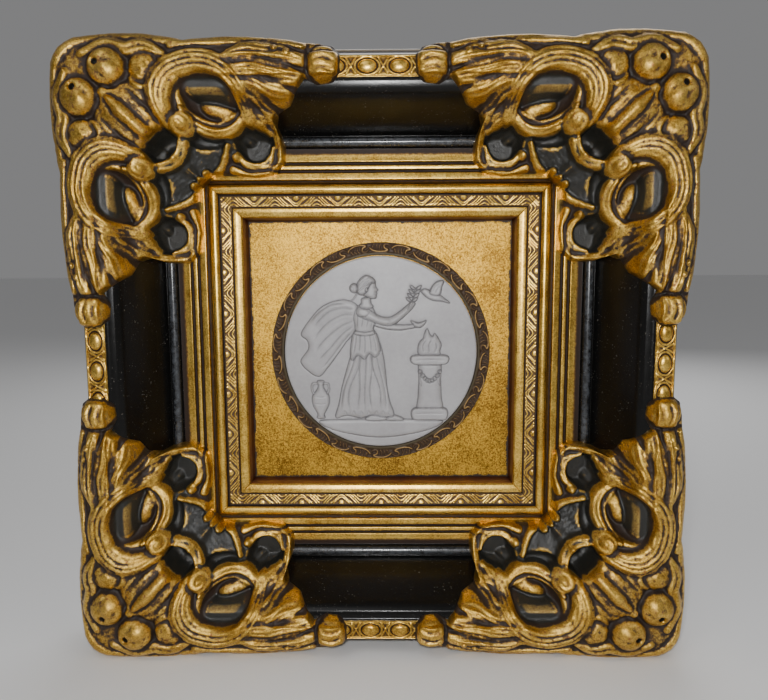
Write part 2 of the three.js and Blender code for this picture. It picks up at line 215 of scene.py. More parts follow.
def softened(field, reach_cells):
    """A field blurred twice over a square of cells."""
    for _ in range(2):
        for axis in (0, 1):
            padded = np.pad(field,
                            [(reach_cells + 1, reach_cells) if k == axis else (0, 0) for k in (0, 1)],
                            mode="edge")
            total = np.cumsum(padded, axis=axis)
            width = 2 * reach_cells + 1
            take = [slice(width, None) if k == axis else slice(None) for k in (0, 1)]
            drop = [slice(None, -width) if k == axis else slice(None) for k in (0, 1)]
            field = (total[tuple(take)] - total[tuple(drop)]) / width
    return field


def show_piece(node, mesh, material):
    """Puts a finished mesh into the scene as the piece that stands for a CAD node."""
    piece = bpy.data.objects.new(f"{node}_look", mesh)
    bpy.context.collection.objects.link(piece)
    piece.data.materials.append(material)
    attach(piece, "root")
    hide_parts(node)


def grid_faces(columns, rows, loop_columns=False, loop_rows=False):
    """Quads of a grid of places, counted column by column."""
    column_ids = np.arange(columns if loop_columns else columns - 1)
    row_ids = np.arange(rows if loop_rows else rows - 1)
    c, r = (a.ravel() for a in np.meshgrid(column_ids, row_ids, indexing="ij"))
    cn, rn = (c + 1) % columns, (r + 1) % rows
    return np.stack([c * rows + r, cn * rows + r, cn * rows + rn, c * rows + rn], axis=1)


def mesh_from(name, places, faces, ends=(), layers=None):
    """A smooth mesh from places in mm, quads and end faces, with a number on every vertex in each layer."""
    mesh = bpy.data.meshes.new(name)
    loops = [list(map(int, end)) for end in ends]
    mesh.from_pydata((places * MM).tolist(), [], faces.tolist() + loops)
    shell = bmesh.new()
    shell.from_mesh(mesh)
    bmesh.ops.recalc_face_normals(shell, faces=shell.faces)
    shell.to_mesh(mesh)
    shell.free()
    mesh.polygons.foreach_set("use_smooth", np.ones(len(mesh.polygons), bool))
    for layer, values in (layers or {}).items():
        mesh.attributes.new(layer, "FLOAT",
                            "POINT").data.foreach_set("value", values.astype(np.float32).ravel())
    mesh.update()
    return mesh


def quarter_turns(places, turns):
    """Places turned about the Y axis, from the top to the right, the bottom and the left."""
    x, y, z = places.T
    for _ in range(turns):
        x, z = z, -x
    return np.stack([x, y, z], axis=1)


# ---- shader nodes -----------------------------------------------------------------------------------

class Wire:
    """A socket of a material's nodes. Arithmetic on it adds Math nodes."""

    def __init__(self, finish, socket):
        self.finish = finish
        self.socket = socket

    def math(self, operation, *values):
        return self.finish.node("ShaderNodeMath", {"operation": operation}, dict(enumerate(values)))

    def __add__(self, other):
        return self.math("ADD", self, other)

    def __sub__(self, other):
        return self.math("SUBTRACT", self, other)

    def __rsub__(self, other):
        return self.math("SUBTRACT", other, self)

    def __mul__(self, other):
        return self.math("MULTIPLY", self, other)

    def ramp(self, low, high):
        """Smooth step from 0 at low to 1 at high."""
        return self.finish.node("ShaderNodeMapRange", {"interpolation_type": "SMOOTHSTEP"},
                                {0: self, 1: low, 2: high})

    def most(self, other):
        return self.math("MAXIMUM", self, other)

    def size(self):
        return self.math("ABSOLUTE", self)


class Finish:
    """A material whose nodes are added one by one."""

    def __init__(self, name):
        self.material = bpy.data.materials.new(name)
        self.material.use_nodes = True
        self.tree = self.material.node_tree
        self.tree.nodes.clear()
        self.coordinates = self.node("ShaderNodeTexCoord", output="Object")

    def node(self, kind, settings=None, inputs=None, output=0):
        made = self.tree.nodes.new(kind)
        for key, value in (settings or {}).items():
            setattr(made, key, value)
        for key, value in (inputs or {}).items():
            if isinstance(value, Wire):
                self.tree.links.new(value.socket, made.inputs[key])
            else:
                made.inputs[key].default_value = value
        return Wire(self, made.outputs[output]) if made.outputs else None

    def noise(self, size_mm, detail=2.0, roughness=0.5, stretch=(1, 1, 1)):
        """Noise from 0 to 1 with spots of about the given size."""
        place = self.node("ShaderNodeMapping", None, {"Vector": self.coordinates, "Scale": stretch})
        values = {"Vector": place, "Scale": 1 / (size_mm * MM), "Detail": detail, "Roughness": roughness}
        return self.node("ShaderNodeTexNoise", None, values)

    def layer(self, name):
        """The number that the mesh carries on its vertices under this name."""
        return self.node("ShaderNodeAttribute", {"attribute_name": name}, output="Fac")

    def places(self):
        """Distance from the centre, measured squarely, and distance behind the wall's plane, in mm."""
        parts = self.node("ShaderNodeSeparateXYZ", None, {0: self.coordinates})
        x, y, z = (Wire(self, socket) * (1 / MM) for socket in parts.socket.node.outputs)
        return x.size().most(z.size()), y

    def blend(self, share, first, second):
        settings = {"data_type": "RGBA", "clamp_factor": True}
        return self.node("ShaderNodeMix", settings, {0: share, 6: first, 7: second}, output=2)

    def bump(self, height, distance_mm, strength):
        values = {"Height": height, "Distance": distance_mm * MM, "Strength": strength}
        return self.node("ShaderNodeBump", None, values, output="Normal")

    def surface(self, **sockets):
        """Joins the principled shader's sockets, named with _ for a space, to the material's output."""
        values = {key.replace("_", " "): value for key, value in sockets.items()}
        shader = self.node("ShaderNodeBsdfPrincipled", None, values)
        self.node("ShaderNodeOutputMaterial", None, {"Surface": shader})
        return self.material


# ---- mitred mouldings -------------------------------------------------------------------------------
# A profile is a list of (distance from the centre, height above the back), from the outside inwards.

def rounded(points, radius, steps=3):
    """A profile with its corners rounded off."""
    points = np.asarray(points, float)
    out = [points[0]]
    for before, corner, after in zip(points, points[1:], points[2:]):
        first, second = before - corner, after - corner
        cut = min(radius, 0.4 * np.hypot(*first), 0.4 * np.hypot(*second))
        start = corner + first / np.hypot(*first) * cut
        end = corner + second / np.hypot(*second) * cut
        for k in range(steps + 1):
            t = k / steps
            out.append((1 - t) ** 2 * start + 2 * t * (1 - t) * corner + t * t * end)
    return np.array(out + [points[-1]])


def divided(points, spacing):
    """A line with points added so that they are no further apart than the spacing."""
    out = []
    for start, end in zip(points, points[1:]):
        count = max(1, math.ceil(np.hypot(*(end - start)) / spacing))
        out.extend(start + (end - start) * k / count for k in range(count))
    return np.array(out + [points[-1]])


RAIL_FRONT = np.vstack([smooth_line([(165, 28), (164, 31.5), (161.5, 35.5), (159.6, 41), (157.9, 47),
                                     (156.6, 50.6)], 3),
                        rounded([(156.4, 51.2), (155.6, 52.2), (RIM_STRIP[0], RIM_HEIGHT)], 0.4),
                        divided(np.array([(155.2, RIM_HEIGHT), (145.9, RIM_HEIGHT)]), 0.34),
                        rounded([(145.7, 52.2), (145.3, 50.4), (144.2, 49.9), (141.2, 49.4)], 0.6),
                        smooth_line([(140.6, 49.1), (138, 46.1), (134, 38.8), (129, 29.3), (124.8, 21.2),
                                     (121.7, 16.7)], 5),
                        smooth_line([(121.4, 17.2), (120.6, 18.9), (118.9, 19.9), (117.2, 19.5),
                                     (115.8, 18.1), (115.1, 16.7)], 3),
                        rounded([(114.9, 16.6), (107.9, 18.7), (107.3, 17.2), (106.3, 17.2), (105.5, 19.6),
                                 (103.6, 19.6), (103, 18.1), (102, 18.1), (101.4, 20.1), (98, 20.6),
                                 (97.4, 19.2), (96.2, 19)], 0.35), ])
RAIL_BACK = np.array([(96.2, 14.7), (102, 14.7), (102, 0), (165, 0)], float)
LINER_FRONT = np.vstack([rounded([(95.8, 14.4), (95.6, 19), (95.4, 19.8)], 0.3),
                         smooth_line([(95.3, 20.2), (94.5, 21.8), (92.7, 22.6), (90.8, 21.8), (89.9, 19.9)],
                                     3), rounded([(89.8, 19.5), (89.2, 19.4), (88.8, 20.8)], 0.3),
                         divided(np.array([(88.6, 20.8), (83.3, 19.5)]), 0.4),
                         rounded([(83.2, 19.4), (82.8, 18.6), (82.2, 19.6), (80.3, 19.5), (78, 18.8),
                                  (77.2, 17.8), (75.4, 10.4)], 0.35), ])
LINER_BACK = np.array([(80, 10.4), (80, 0), (101.6, 0), (101.6, 14.4)], float)


def hollowness(front):
    """How deep each point of a profile lies below its surroundings, in mm."""
    order = np.argsort(front[:, 0], kind="stable")
    across, height = front[order, 0] + np.arange(len(front)) * 1e-6, front[order, 1]
    around = [np.interp(front[:, 0] + d, across, height) for d in (-1.6, -1.1, -0.6, 0.6, 1.1, 1.6)]
    return np.mean(around, axis=0) - front[:, 1]


def columns_along(fine, spacing, coarse):
    """Shares of a moulding's length from -1 to 1, close together where it is carved."""
    middle = np.linspace(-fine, fine, int(2 * fine / spacing))
    ends = np.linspace(fine, 1, coarse)[1:] if fine < 1 else np.empty(0)
    return np.concatenate([-ends[::-1], middle, ends])


def moulding(name, front, back, columns, turns, carve):
    """A mitred bar along one side, with a carved front."""
    profile = np.vstack([front, back])
    rows = len(profile)
    share, across = np.meshgrid(columns, profile[:, 0], indexing="ij")
    height = np.broadcast_to(profile[:, 1], share.shape).copy()
    x, z = share * (across - 0.15), across.copy()
    hollow = np.zeros_like(height)
    hollow[:, :len(front)] = hollowness(front)
    gilt = np.zeros_like(height)
    rise, lines = carve(x[:, :len(front)], z[:, :len(front)])
    height[:, :len(front)] += rise
    hollow[:, :len(front)] += softened(rise, 2) - rise
    gilt[:, :len(front)] = lines
    limit = RAIL_OUTER - CORNER_ROUND
    beyond = np.hypot(np.abs(x) - limit, z - limit)
    rounding = (np.abs(x) > limit) & (z > limit) & (beyond > CORNER_ROUND)
    pull = np.where(rounding, CORNER_ROUND / np.maximum(beyond, 1e-6), 1)
    x = np.where(rounding, np.sign(x) * (limit + (np.abs(x) - limit) * pull), x)
    z = np.where(rounding, limit + (z - limit) * pull, z)
    places = quarter_turns(np.stack([x.ravel(), -height.ravel(), z.ravel()], axis=1), turns)
    last = (len(columns) - 1) * rows
    ends = [np.arange(rows)[::-1], last + np.arange(rows)]
    faces = grid_faces(len(columns), rows, loop_rows=True)
    return mesh_from(name, places, faces, ends, {"hollow": hollow, "gilt": gilt})


def egg_course(pitch, shift):
    """Ovals in thin rings, with a small cross between each two, on the rim's flat strip."""
    def carve(x, across):
        y = across - EGG_LINE
        along = x - shift
        q = np.hypot(((along / pitch) % 1 - 0.5) * pitch / 6.9, y / 4.75)
        ring = 1.25 * np.exp(-((q - 0.9) / 0.085) ** 2)
        dome = 2.5 * np.sqrt(np.clip(1 - (q / 0.72) ** 2, 0, 1)) ** 0.8
        gap = ((along / pitch + 0.5) % 1 - 0.5) * pitch
        arms = np.minimum(np.abs(gap - 0.62 * y), np.abs(gap + 0.62 * y))
        cross = 1.1 * np.exp(-(arms / 0.55) ** 2) * step(4.6, 3.4, np.abs(y)) * step(3.6, 2.4, np.abs(gap))
        outer, inner = RIM_STRIP
        strip = step(outer, outer - 0.5, across) * step(inner - 0.2, inner + 0.5, across)
        middle = step(44, 36, np.abs(x))
        rise = np.maximum(np.maximum(ring, cross), dome) - 1.3
        return rise * strip * middle, np.zeros_like(x)
    return carve


# Lines of half a period of the liner's band: places along it from the chevron's point, and across it.
BAND_LINES = (
    ((0, -2.2), (1.3, -1.8), (3.8, 0.5), (6.4, 2.3)), ((0, -1.0), (1.1, -0.7), (3.0, 0.9), (4.6, 2.3)),
    ((2.4, -2.4), (4.4, -1.7), (6.8, 0.3), (8.8, 2.2)), ((4.6, -2.4), (6.6, -1.5), (8.6, 0.4), (10.4, 2.2)),
    ((6.8, -2.4), (8.6, -1.4), (10.2, 0.2), (11.7, 0.9)), ((9.2, -2.4), (10.4, -1.7), (11.7, -1.2)))


def zigzag_band(period):
    """Chevrons, slanted leaves and small buds in fine lines, on the liner's flat band."""
    def carve(x, across):
        y = across - BAND_LINE
        ids = np.flatnonzero(np.abs(y.ravel()) < 3.0)
        along = np.abs(((x.ravel()[ids] / period + 0.5) % 1 - 0.5) * period)
        here = y.ravel()[ids]
        drawn = np.zeros(len(ids))
        for points in BAND_LINES:
            d, _, _ = nearest_on_line(smooth_line(points, 4), along, here)
            drawn = np.maximum(drawn, np.exp(-(d / 0.36) ** 2))
        bud = 0.8 * step(1.9, 0.8, np.hypot(along / 1.15, here - 1.9))
        lines = np.zeros(x.size)
        lines[ids] = np.maximum(drawn, bud) * step(2.8, 2.5, np.abs(here))
        lines = lines.reshape(x.shape)
        inside = step(2.75, 2.45, np.abs(y))
        return 0.6 * lines - 0.35 * inside, lines
    return carve


# ---- carved ring and relief disc --------------------------------------------------------------------

def ring_carving(along, y):
    """Height and painted highlight of one scroll of the ring, a gilt-coloured line along each crest; y is
    outwards from the ring's middle line.
    """
    hook = smooth_line([(-6.0, -0.6), (-4.6, -1.9), (-2.4, -1.6), (-2.6, 0.2), (-4.4, 1.2), (-2.4, 2.1),
                        (1.2, 2.2), (4.4, 1.3), (6.2, -0.4)], 5)
    d, share, _ = nearest_on_line(hook, along, y)
    half = 0.55 + 0.45 * np.sin(np.pi * share)
    rise = 1.15 * np.sqrt(np.clip(1 - (d / half) ** 2, 0, 1))
    crest_highlight = np.exp(-(d / 0.34) ** 2) * step(0.05, 0.3, share)
    for line in ([(-0.6, -2.2), (0.3, -0.9), (0.2, 0.7)], [(1.4, -2.2), (2.2, -1.0), (2.3, 0.4)],
                 [(3.3, -2.1), (4.0, -1.2), (4.2, -0.3)]):
        d, share, _ = nearest_on_line(smooth_line(line, 4), along, y)
        rise = np.maximum(rise, 0.85 * np.sqrt(np.clip(1 - (d / 0.72) ** 2, 0, 1)))
        crest_highlight = np.maximum(crest_highlight, 0.7 * np.exp(-(d / 0.26) ** 2))
    return rise, crest_highlight


def ring_mesh(scrolls):
    """The flat ring round the disc, with a scroll course that turns over at every scroll."""
    columns = 30 * scrolls
    inner, outer = RING_INNER + 0.1, RING_OUTER
    radii = np.concatenate([[inner, inner], np.linspace(inner + 0.2, outer - 0.5, 21),
                            [outer - 0.1, outer]])
    heights = np.concatenate([[0, 2.7], np.full(21, 3.0), [2.0, 0]])
    angle = np.arange(columns) * 2 * np.pi / columns
    a, r = np.meshgrid(angle, radii, indexing="ij")
    h = np.broadcast_to(heights, a.shape).copy()
    turn = a * scrolls / (2 * np.pi)
    which = np.floor(turn).astype(int) % 2
    length = 2 * np.pi * 60.4 / scrolls
    along = (turn % 1 - 0.5) * length
    y = np.where(which == 0, 1, -1) * (r - RING_LINE)
    rise, crest_highlight = (f.reshape(a.shape) for f in ring_carving(along.ravel(), y.ravel()))
    field = step(57.6, 58.2, r) * step(63.2, 62.7, r)
    beads = 0.5 + 0.5 * np.cos(turn * 2 * np.pi * 6)
    h[:, 1:-1] += ((rise - 0.9) * field + 0.4 * beads * step(62.8, 63.1, r) * step(63.6, 63.3, r))[:, 1:-1]
    band = step(57.9, 57.5, r)
    places = np.stack([(r * np.cos(a)).ravel(), -(SEAT + h).ravel(), (r * np.sin(a)).ravel()], axis=1)
    hollow = (1 - rise) * field
    faces = grid_faces(columns, len(radii), loop_columns=True, loop_rows=True)
    return mesh_from("ring", places, faces, (), {"hollow": hollow, "gilt": crest_highlight * field, "band": band})


class Relief:
    """Low relief over the disc: heights above its ground and the grey darkening along its carved lines."""

    def __init__(self, x, z):
        self.x, self.z = x, z
        self.height = np.zeros(len(x))
        self.line = np.zeros(len(x))

    def near(self, line, margin):
        return ids_near(self.x, self.z, line.min(axis=0), line.max(axis=0), margin)

    def form(self, points, rise, roundness=3.0, tilt=(0, 0)):
        """A pillowed form inside a smooth outline, over what is already there."""
        line = smooth_line(points, 8, closed=True)
        loop = np.vstack([line, line[:1]])
        ids = self.near(line, 1.6)
        x, z = self.x[ids], self.z[ids]
        d, _, _ = nearest_on_line(loop, x, z)
        inside = inside_outline(line, x, z)
        share = np.clip(d / roundness, 0, 1)
        centre = line.mean(axis=0)
        lean = tilt[0] * (x - centre[0]) + tilt[1] * (z - centre[1])
        pillow = 1.15 * (rise + lean) * np.sqrt(1 - (1 - share) ** 2)
        self.height[ids] = np.where(inside, np.maximum(pillow, self.height[ids] * 0.35 + 0.15 * pillow),
                                    self.height[ids] - 0.22 * np.exp(-(d / 0.5) ** 2))
        drawn = np.exp(-(d / 0.42) ** 2)
        self.line[ids] = np.where(inside, self.line[ids] * step(1.2, 0.2, share * roundness),
                                  self.line[ids])
        self.line[ids] = np.maximum(self.line[ids], drawn)

    def fold(self, points, depth=0.4, half=0.55, line=0.75, ridge=0.25):
        """A carved crease with a soft ridge beside it."""
        path = smooth_line(points, 8)
        ids = self.near(path, 3)
        d, share, side = nearest_on_line(path, self.x[ids], self.z[ids])
        ends = step(0, 0.12, share) * step(1, 0.8, share)
        groove = np.exp(-(d / half) ** 2)
        beside = np.exp(-((d * side - 1.5 * half) / (1.3 * half)) ** 2)
        self.height[ids] += (ridge * beside - depth * groove) * ends
        self.line[ids] = np.maximum(self.line[ids], line * np.exp(-(d / (0.75 * half)) ** 2) * ends)

    def ridge(self, points, rise, half, ends=(0.4, 0.2)):
        """A raised rounded stroke, such as a stem, ribbon or limb's edge."""
        path = smooth_line(points, 8)
        ids = self.near(path, half + 1.5)
        d, share, _ = nearest_on_line(path, self.x[ids], self.z[ids])
        width = half * np.interp(share, [0, 0.3, 0.8, 1], [ends[0], 1, 1, ends[1]])
        shape = np.sqrt(np.clip(1 - (d / width) ** 2, 0, 1))
        self.height[ids] = np.maximum(self.height[ids], self.height[ids] * 0.5 + rise * shape)
        self.line[ids] = np.maximum(self.line[ids], 0.75 * np.exp(-((d - width) / 0.3) ** 2))


def disc_mesh(cells):
    """The marble disc, carved with a calm standing woman at an altar, a dove and an amphora."""
    side = np.linspace(-1, 1, cells + 1)
    a, b = np.meshgrid(side, side, indexing="ij")
    x = a * np.sqrt(1 - b * b / 2) * DISC_RADIUS
    z = b * np.sqrt(1 - a * a / 2) * DISC_RADIUS
    relief = Relief(x.ravel(), z.ravel())
    carve_scene(relief)
    radius = np.hypot(relief.x, relief.z)
    height = relief.height * step(55.6, 54.6, radius) - 0.5 * step(55.0, DISC_RADIUS, radius)
    front = np.stack([relief.x, -(SEAT + DISC_THICKNESS + height), relief.z], axis=1)
    count = cells + 1
    ids = np.arange(count * count).reshape(count, count)
    rim = np.concatenate([ids[:-1, 0], ids[-1, :-1], ids[:0:-1, -1], ids[0, :0:-1]])
    back = front[rim].copy()
    back[:, 1] = -SEAT
    low = len(front) + np.arange(len(rim))
    wall = np.stack([rim, np.roll(rim, -1), np.roll(low, -1), low], axis=1)
    faces = np.vstack([grid_faces(count, count), wall])
    line = np.concatenate([relief.line, np.zeros(len(rim))])
    depth = np.concatenate([-np.minimum(height, 0.0), np.zeros(len(rim))])
    return mesh_from("relief_disc", np.vstack([front, back]), faces, [low], {"line": line, "hollow": depth})


def carve_scene(r):
    """The relief's own design: forms from the back to the front, then creases and small strokes."""
    # ground line and cloak
    r.form([(-36, -40.5), (-18, -39.6), (0, -39.2), (20, -39.6), (36, -40.5), (29, -45.5), (14, -49),
            (0, -50.3), (-14, -49), (-29, -45.5)], 1.1, 2.5)
    r.form([(-13, 27), (-19, 30.5), (-26, 30), (-34, 26.5), (-41, 19), (-46, 11), (-42.5, 7), (-42, 2),
            (-46.5, -5), (-42, -11), (-36, -14), (-31, -9), (-25, -1), (-20, 6), (-15, 12), (-12, 18)], 1.3,
           3.5)
    for points in ([(-14, 25), (-22, 26), (-31, 23), (-40, 14)],
                   [(-14, 22), (-22, 22), (-31, 17), (-40, 7)], [(-14, 19), (-22, 16), (-31, 9), (-39, 0)],
                   [(-15, 16), (-22, 11), (-30, 2), (-38, -6)],
                   [(-16, 13), (-22, 6), (-29, -3), (-35, -10)],
                   [(-20, 28.5), (-28, 28), (-36, 23), (-42, 16)]):
        r.fold(points, 0.42, 0.8)
    # skirt, overfold and feet
    r.form([(-9, -38.6), (-4, -36.5), (1, -37.2), (4.5, -39.2), (0, -40.4), (-8, -40.2)], 1.5, 1.2)
    r.form([(3.5, -38.6), (7, -36.8), (12.5, -38.6), (12.5, -40.2), (3.5, -40.2)], 1.5, 1.2)
    r.form([(-14, 12.5), (-8, 13.2), (-3.5, 12.5), (-0.5, 6), (1.2, 0), (2.6, -9), (3.4, -18), (5, -28),
            (7.6, -37), (2, -38.2), (-5, -37), (-12, -38.6), (-20, -37.2), (-26.5, -38.4), (-24.6, -30),
            (-22.6, -20), (-19.6, -9), (-16.4, 2)], 2.0, 4.5)
    for k, (top, low) in enumerate(((-14.2, -23.5), (-12.2, -18.6), (-10.4, -14.2), (-8.4, -9.6),
                                    (-6.4, -5.2), (-4.6, -0.8), (-2.8, 3.6))):
        sway = 1.3 * math.sin(k * 2.1)
        r.fold([(top, 4 - abs(k - 3)), (top * 0.75 + low * 0.25 + sway, -8),
                (low * 0.8 + top * 0.2 - sway, -22), (low, -35.5)], 0.55, 0.62)
    for x in (-21, -16, -11.6, -7.2, -2.8, 1.2, 5.2):
        r.fold([(x - 1.1, -36.6), (x, -34.2), (x + 1.1, -36.6)], 0.25, 0.4, 0.5, 0.1)
    r.form([(-15.4, 12), (-9, 13), (-3, 12), (-0.8, 6), (-0.2, 0.6), (-3.2, -2.6), (-6.4, -0.6),
            (-9.2, -3.8), (-13, -1.6), (-16.6, -4.6), (-17.6, 1)], 2.5, 2.2)
    for points in ([(-14, 11), (-14.6, 5), (-16, -2)], [(-11.8, 11.4), (-12, 5), (-12.6, 0)],
                   [(-9.4, 11.6), (-9, 5), (-9.4, -1.8)], [(-6.6, 11.4), (-5.6, 5), (-5.6, 0)],
                   [(-4.4, 11), (-3, 5), (-2.6, -0.6)]):
        r.fold(points, 0.35, 0.5)
    # far arm with a shallow bowl
    r.form([(-6, 23.5), (-1, 20.6), (3, 17.8), (8, 16.6), (13, 16.2), (18, 16.4), (20.6, 17.2), (22, 16),
            (20.4, 14.6), (16, 13.6), (11, 13), (5, 13.4), (0, 14.4), (-5, 16.6), (-8, 20)], 1.5, 1.6)
    r.form([(17.6, 18.6), (22, 17.4), (26.4, 18.6), (24.6, 15.4), (22, 14.4), (19.4, 15.4)], 2.1, 1.4)
    # bodice
    r.form([(-13.8, 25.6), (-11.2, 28.2), (-7.8, 28.6), (-4.8, 26.6), (-3.2, 23.8), (-2.0, 20.6),
            (-2.6, 17.6), (-4, 14.6), (-4.2, 11.6), (-9, 11), (-14, 11.6), (-14.8, 16), (-15.4, 20.6)], 2.5,
           3)
    r.form([(-14.6, 12.8), (-9, 12), (-3.8, 12.8), (-3.8, 10.8), (-9, 10), (-14.6, 10.8)], 2.8, 0.9)
    for points in ([(-11.6, 27.4), (-10, 22), (-10.6, 17), (-11.4, 13.4)],
                   [(-8.6, 27.8), (-6.8, 23), (-7.4, 18), (-8.6, 13.4)],
                   [(-5.8, 26), (-4.2, 22), (-4.8, 17.6), (-6, 13.4)],
                   [(-13.4, 24.4), (-13.2, 19), (-13.4, 14)]):
        r.fold(points, 0.35, 0.5)
    # near arm raised with a laurel branch
    r.form([(-13.4, 25.4), (-11, 27), (-8, 26.2), (-4, 23.4), (0, 21.2), (4.6, 20.6), (8.4, 22), (12.4, 25),
            (16, 28), (18.4, 29.8), (20, 28.8), (19.4, 26.8), (16.6, 23.6), (12.6, 19.8), (8.2, 16.6),
            (4, 15.6), (-1, 16.6), (-6, 18.6), (-10.6, 20.4), (-13.6, 22.4)], 2.9, 2.4)
    r.fold([(-12.6, 21.6), (-9, 21), (-6.6, 23), (-6.2, 25)], 0.4, 0.5)
    r.fold([(3.6, 16.4), (5.2, 18.2), (5, 20)], 0.25, 0.4, 0.5, 0.1)
    r.ridge([(15.6, 25.4), (18.4, 29.4), (20, 33), (20.4, 37.6)], 2.4, 0.55)
    for k in range(4):
        x, z = 18.2 + 0.75 * k, 29.6 + 2.3 * k
        for side_turn in (-1, 1):
            r.form([(x, z), (x + side_turn * 1.6 - 0.2, z + 1.9), (x + side_turn * 3.4, z + 2.2),
                    (x + side_turn * 2.2, z + 0.2)], 2.2, 0.8)
    # head, hair and ribbon
    r.form([(-10.6, 31.5), (-6.2, 31.8), (-5.2, 28.6), (-4.2, 26.4), (-8, 25.2), (-12, 26.6), (-11, 29)],
           2.2, 1.8)
    r.form([(-8.4, 43.2), (-5.2, 42.6), (-3.1, 40.6), (-2.5, 38.6), (-2.2, 37.6), (-1.3, 36.2),
            (-2.1, 35.5), (-2.0, 34.8), (-1.9, 34.1), (-2.3, 33.5), (-2.1, 32.6), (-3.0, 31.4),
            (-5.4, 31.4), (-7.6, 32.4), (-10.4, 33.6), (-12, 37), (-11.2, 41)], 2.7, 2.2)
    r.form([(-8.6, 44.6), (-5.4, 43.9), (-3.1, 42), (-2.9, 40.4), (-4.9, 39.9), (-6.3, 38.3), (-7.2, 36.2),
            (-8.6, 34.2), (-11, 33.4), (-13.2, 34.8), (-13.6, 38), (-12.4, 41.8)], 3.0, 1.7)
    r.form([(-13, 38.6), (-14.4, 39.9), (-16.6, 39.5), (-17.6, 37.5), (-16.8, 35.5), (-14.6, 34.7),
            (-13, 36)], 3.0, 1.4)
    for points in ([(-4, 42.2), (-7, 41.6), (-10, 39), (-12.6, 36.6)],
                   [(-5.6, 43.4), (-8.8, 42.6), (-11.4, 40), (-13.2, 38)],
                   [(-5.6, 39.6), (-8, 38.6), (-10, 36.8), (-12, 35.4)],
                   [(-16.8, 38.6), (-15.4, 37.2), (-15.8, 35.8)]):
        r.fold(points, 0.3, 0.36, 0.6, 0.15)
    r.ridge([(-3.4, 41), (-6.4, 40.6), (-9.6, 38), (-12.4, 35.6), (-15.6, 31), (-18.6, 30)], 0.55, 0.42)
    r.fold([(-4.9, 37.5), (-4.1, 37.9), (-3.2, 37.6)], 0.16, 0.28, 0.55, 0.05)
    r.fold([(-4.6, 36.7), (-3.9, 36.95), (-3.2, 36.7)], 0.12, 0.24, 0.5, 0.05)
    r.fold([(-3.5, 33.9), (-2.8, 33.85), (-2.2, 33.95)], 0.14, 0.22, 0.5, 0.02)
    r.form([(-8.2, 37.6), (-7.2, 37.4), (-7.0, 36.2), (-7.8, 35.2), (-8.5, 36)], 3.1, 0.6)
    # altar with a garland and flames
    r.form([(23, -1.6), (21.6, 2.4), (22.6, 6), (24.6, 8.2), (25.4, 11), (27, 14), (28.6, 10.6), (30, 9.4),
            (31.4, 11), (33.6, 8), (35.2, 4.6), (34.4, 1), (33.6, -1.6)], 1.6, 2)
    for points in ([(25, 0), (24.6, 4), (26.6, 8)], [(28.4, 0), (28, 4.6), (29.6, 7.6)],
                   [(31.6, 0), (32.4, 3.6), (31.8, 6.4)]):
        r.fold(points, 0.35, 0.45)
    r.form([(21.4, -33.6), (21.8, -26), (22.2, -16), (22.4, -5.8), (28.5, -5.2), (34.8, -5.8), (35, -16),
            (35.4, -26), (35.8, -33.6), (28.5, -34.2)], 2.2, 4)
    r.form([(18.9, -33.2), (28.5, -32.6), (38.1, -33.2), (38.1, -39.4), (28.5, -39.8), (18.9, -39.4)], 2.6,
           1)
    r.fold([(19.6, -36), (28.5, -35.6), (37.4, -36)], 0.3, 0.35, 0.6, 0)
    r.form([(18.8, -6.6), (18.2, -2), (28.5, -1.2), (38.8, -2), (38.2, -6.6), (28.5, -7.2)], 2.8, 1)
    r.fold([(19.4, -4.4), (28.5, -3.8), (37.6, -4.4)], 0.3, 0.35, 0.6, 0)
    for k in range(9):
        swing = k / 8 * 2 - 1
        x, z = 28.6 + swing * 5.6, -16.4 + 5.2 * swing * swing
        r.form([(x + 1.25 * math.cos(t), z + 1.25 * math.sin(t)) for t in np.arange(6) * math.pi / 3], 2.9,
               1.1)
    for x in (23.2, 34):
        r.ridge([(x, -10.6), (x - 0.6, -15), (x + 0.5, -19.5)], 0.6, 0.6)
    # dove
    r.form([(23.4, 35.4), (24.8, 36.8), (27, 36.6), (29.6, 35), (33, 34), (36, 32), (40, 28.6),
            (35.4, 29.6), (31, 30), (27, 31.6), (24.6, 33.8)], 1.6, 1.5)
    r.form([(28.6, 34), (29.6, 38), (32.6, 41), (36.4, 41.4), (35.4, 38), (35, 35.4), (33.6, 33)], 1.9, 1.2)
    for points in ([(30, 35), (31.4, 38), (34.4, 40.4)], [(31.6, 34.6), (33, 37), (34.8, 38.6)],
                   [(34, 32.4), (36.6, 30.8), (38.6, 29.6)]):
        r.fold(points, 0.28, 0.34, 0.6, 0.1)
    # amphora
    r.form([(-37.4, -39), (-33, -38.6), (-33.2, -36.4), (-30.6, -31), (-30.2, -26), (-32.4, -22.4),
            (-33.6, -19.6), (-33.2, -16.6), (-37, -16.6), (-36.6, -19.6), (-37.8, -22.4), (-40.2, -26),
            (-39.8, -31), (-37.2, -36.4)], 2.0, 2.4)
    r.ridge([(-33.6, -18), (-30.8, -18.4), (-30.4, -21.6), (-31.2, -24)], 1.6, 0.6, (1, 1))
    r.ridge([(-36.8, -18), (-39.8, -18.4), (-40.2, -21.6), (-39.4, -24)], 1.6, 0.6, (1, 1))
    for z in (-25.4, -29.6):
        r.fold([(-39.6, z), (-35.2, z - 0.7), (-30.8, z)], 0.22, 0.35, 0.5, 0)


# ---- corner castings --------------------------------------------------------------------------------
# Set out from the rim line's corner: u runs along one rail and v along the other, both inwards, in mm.
# A casting is the same on both sides of its diagonal, so one arm is carved and then mirrored.

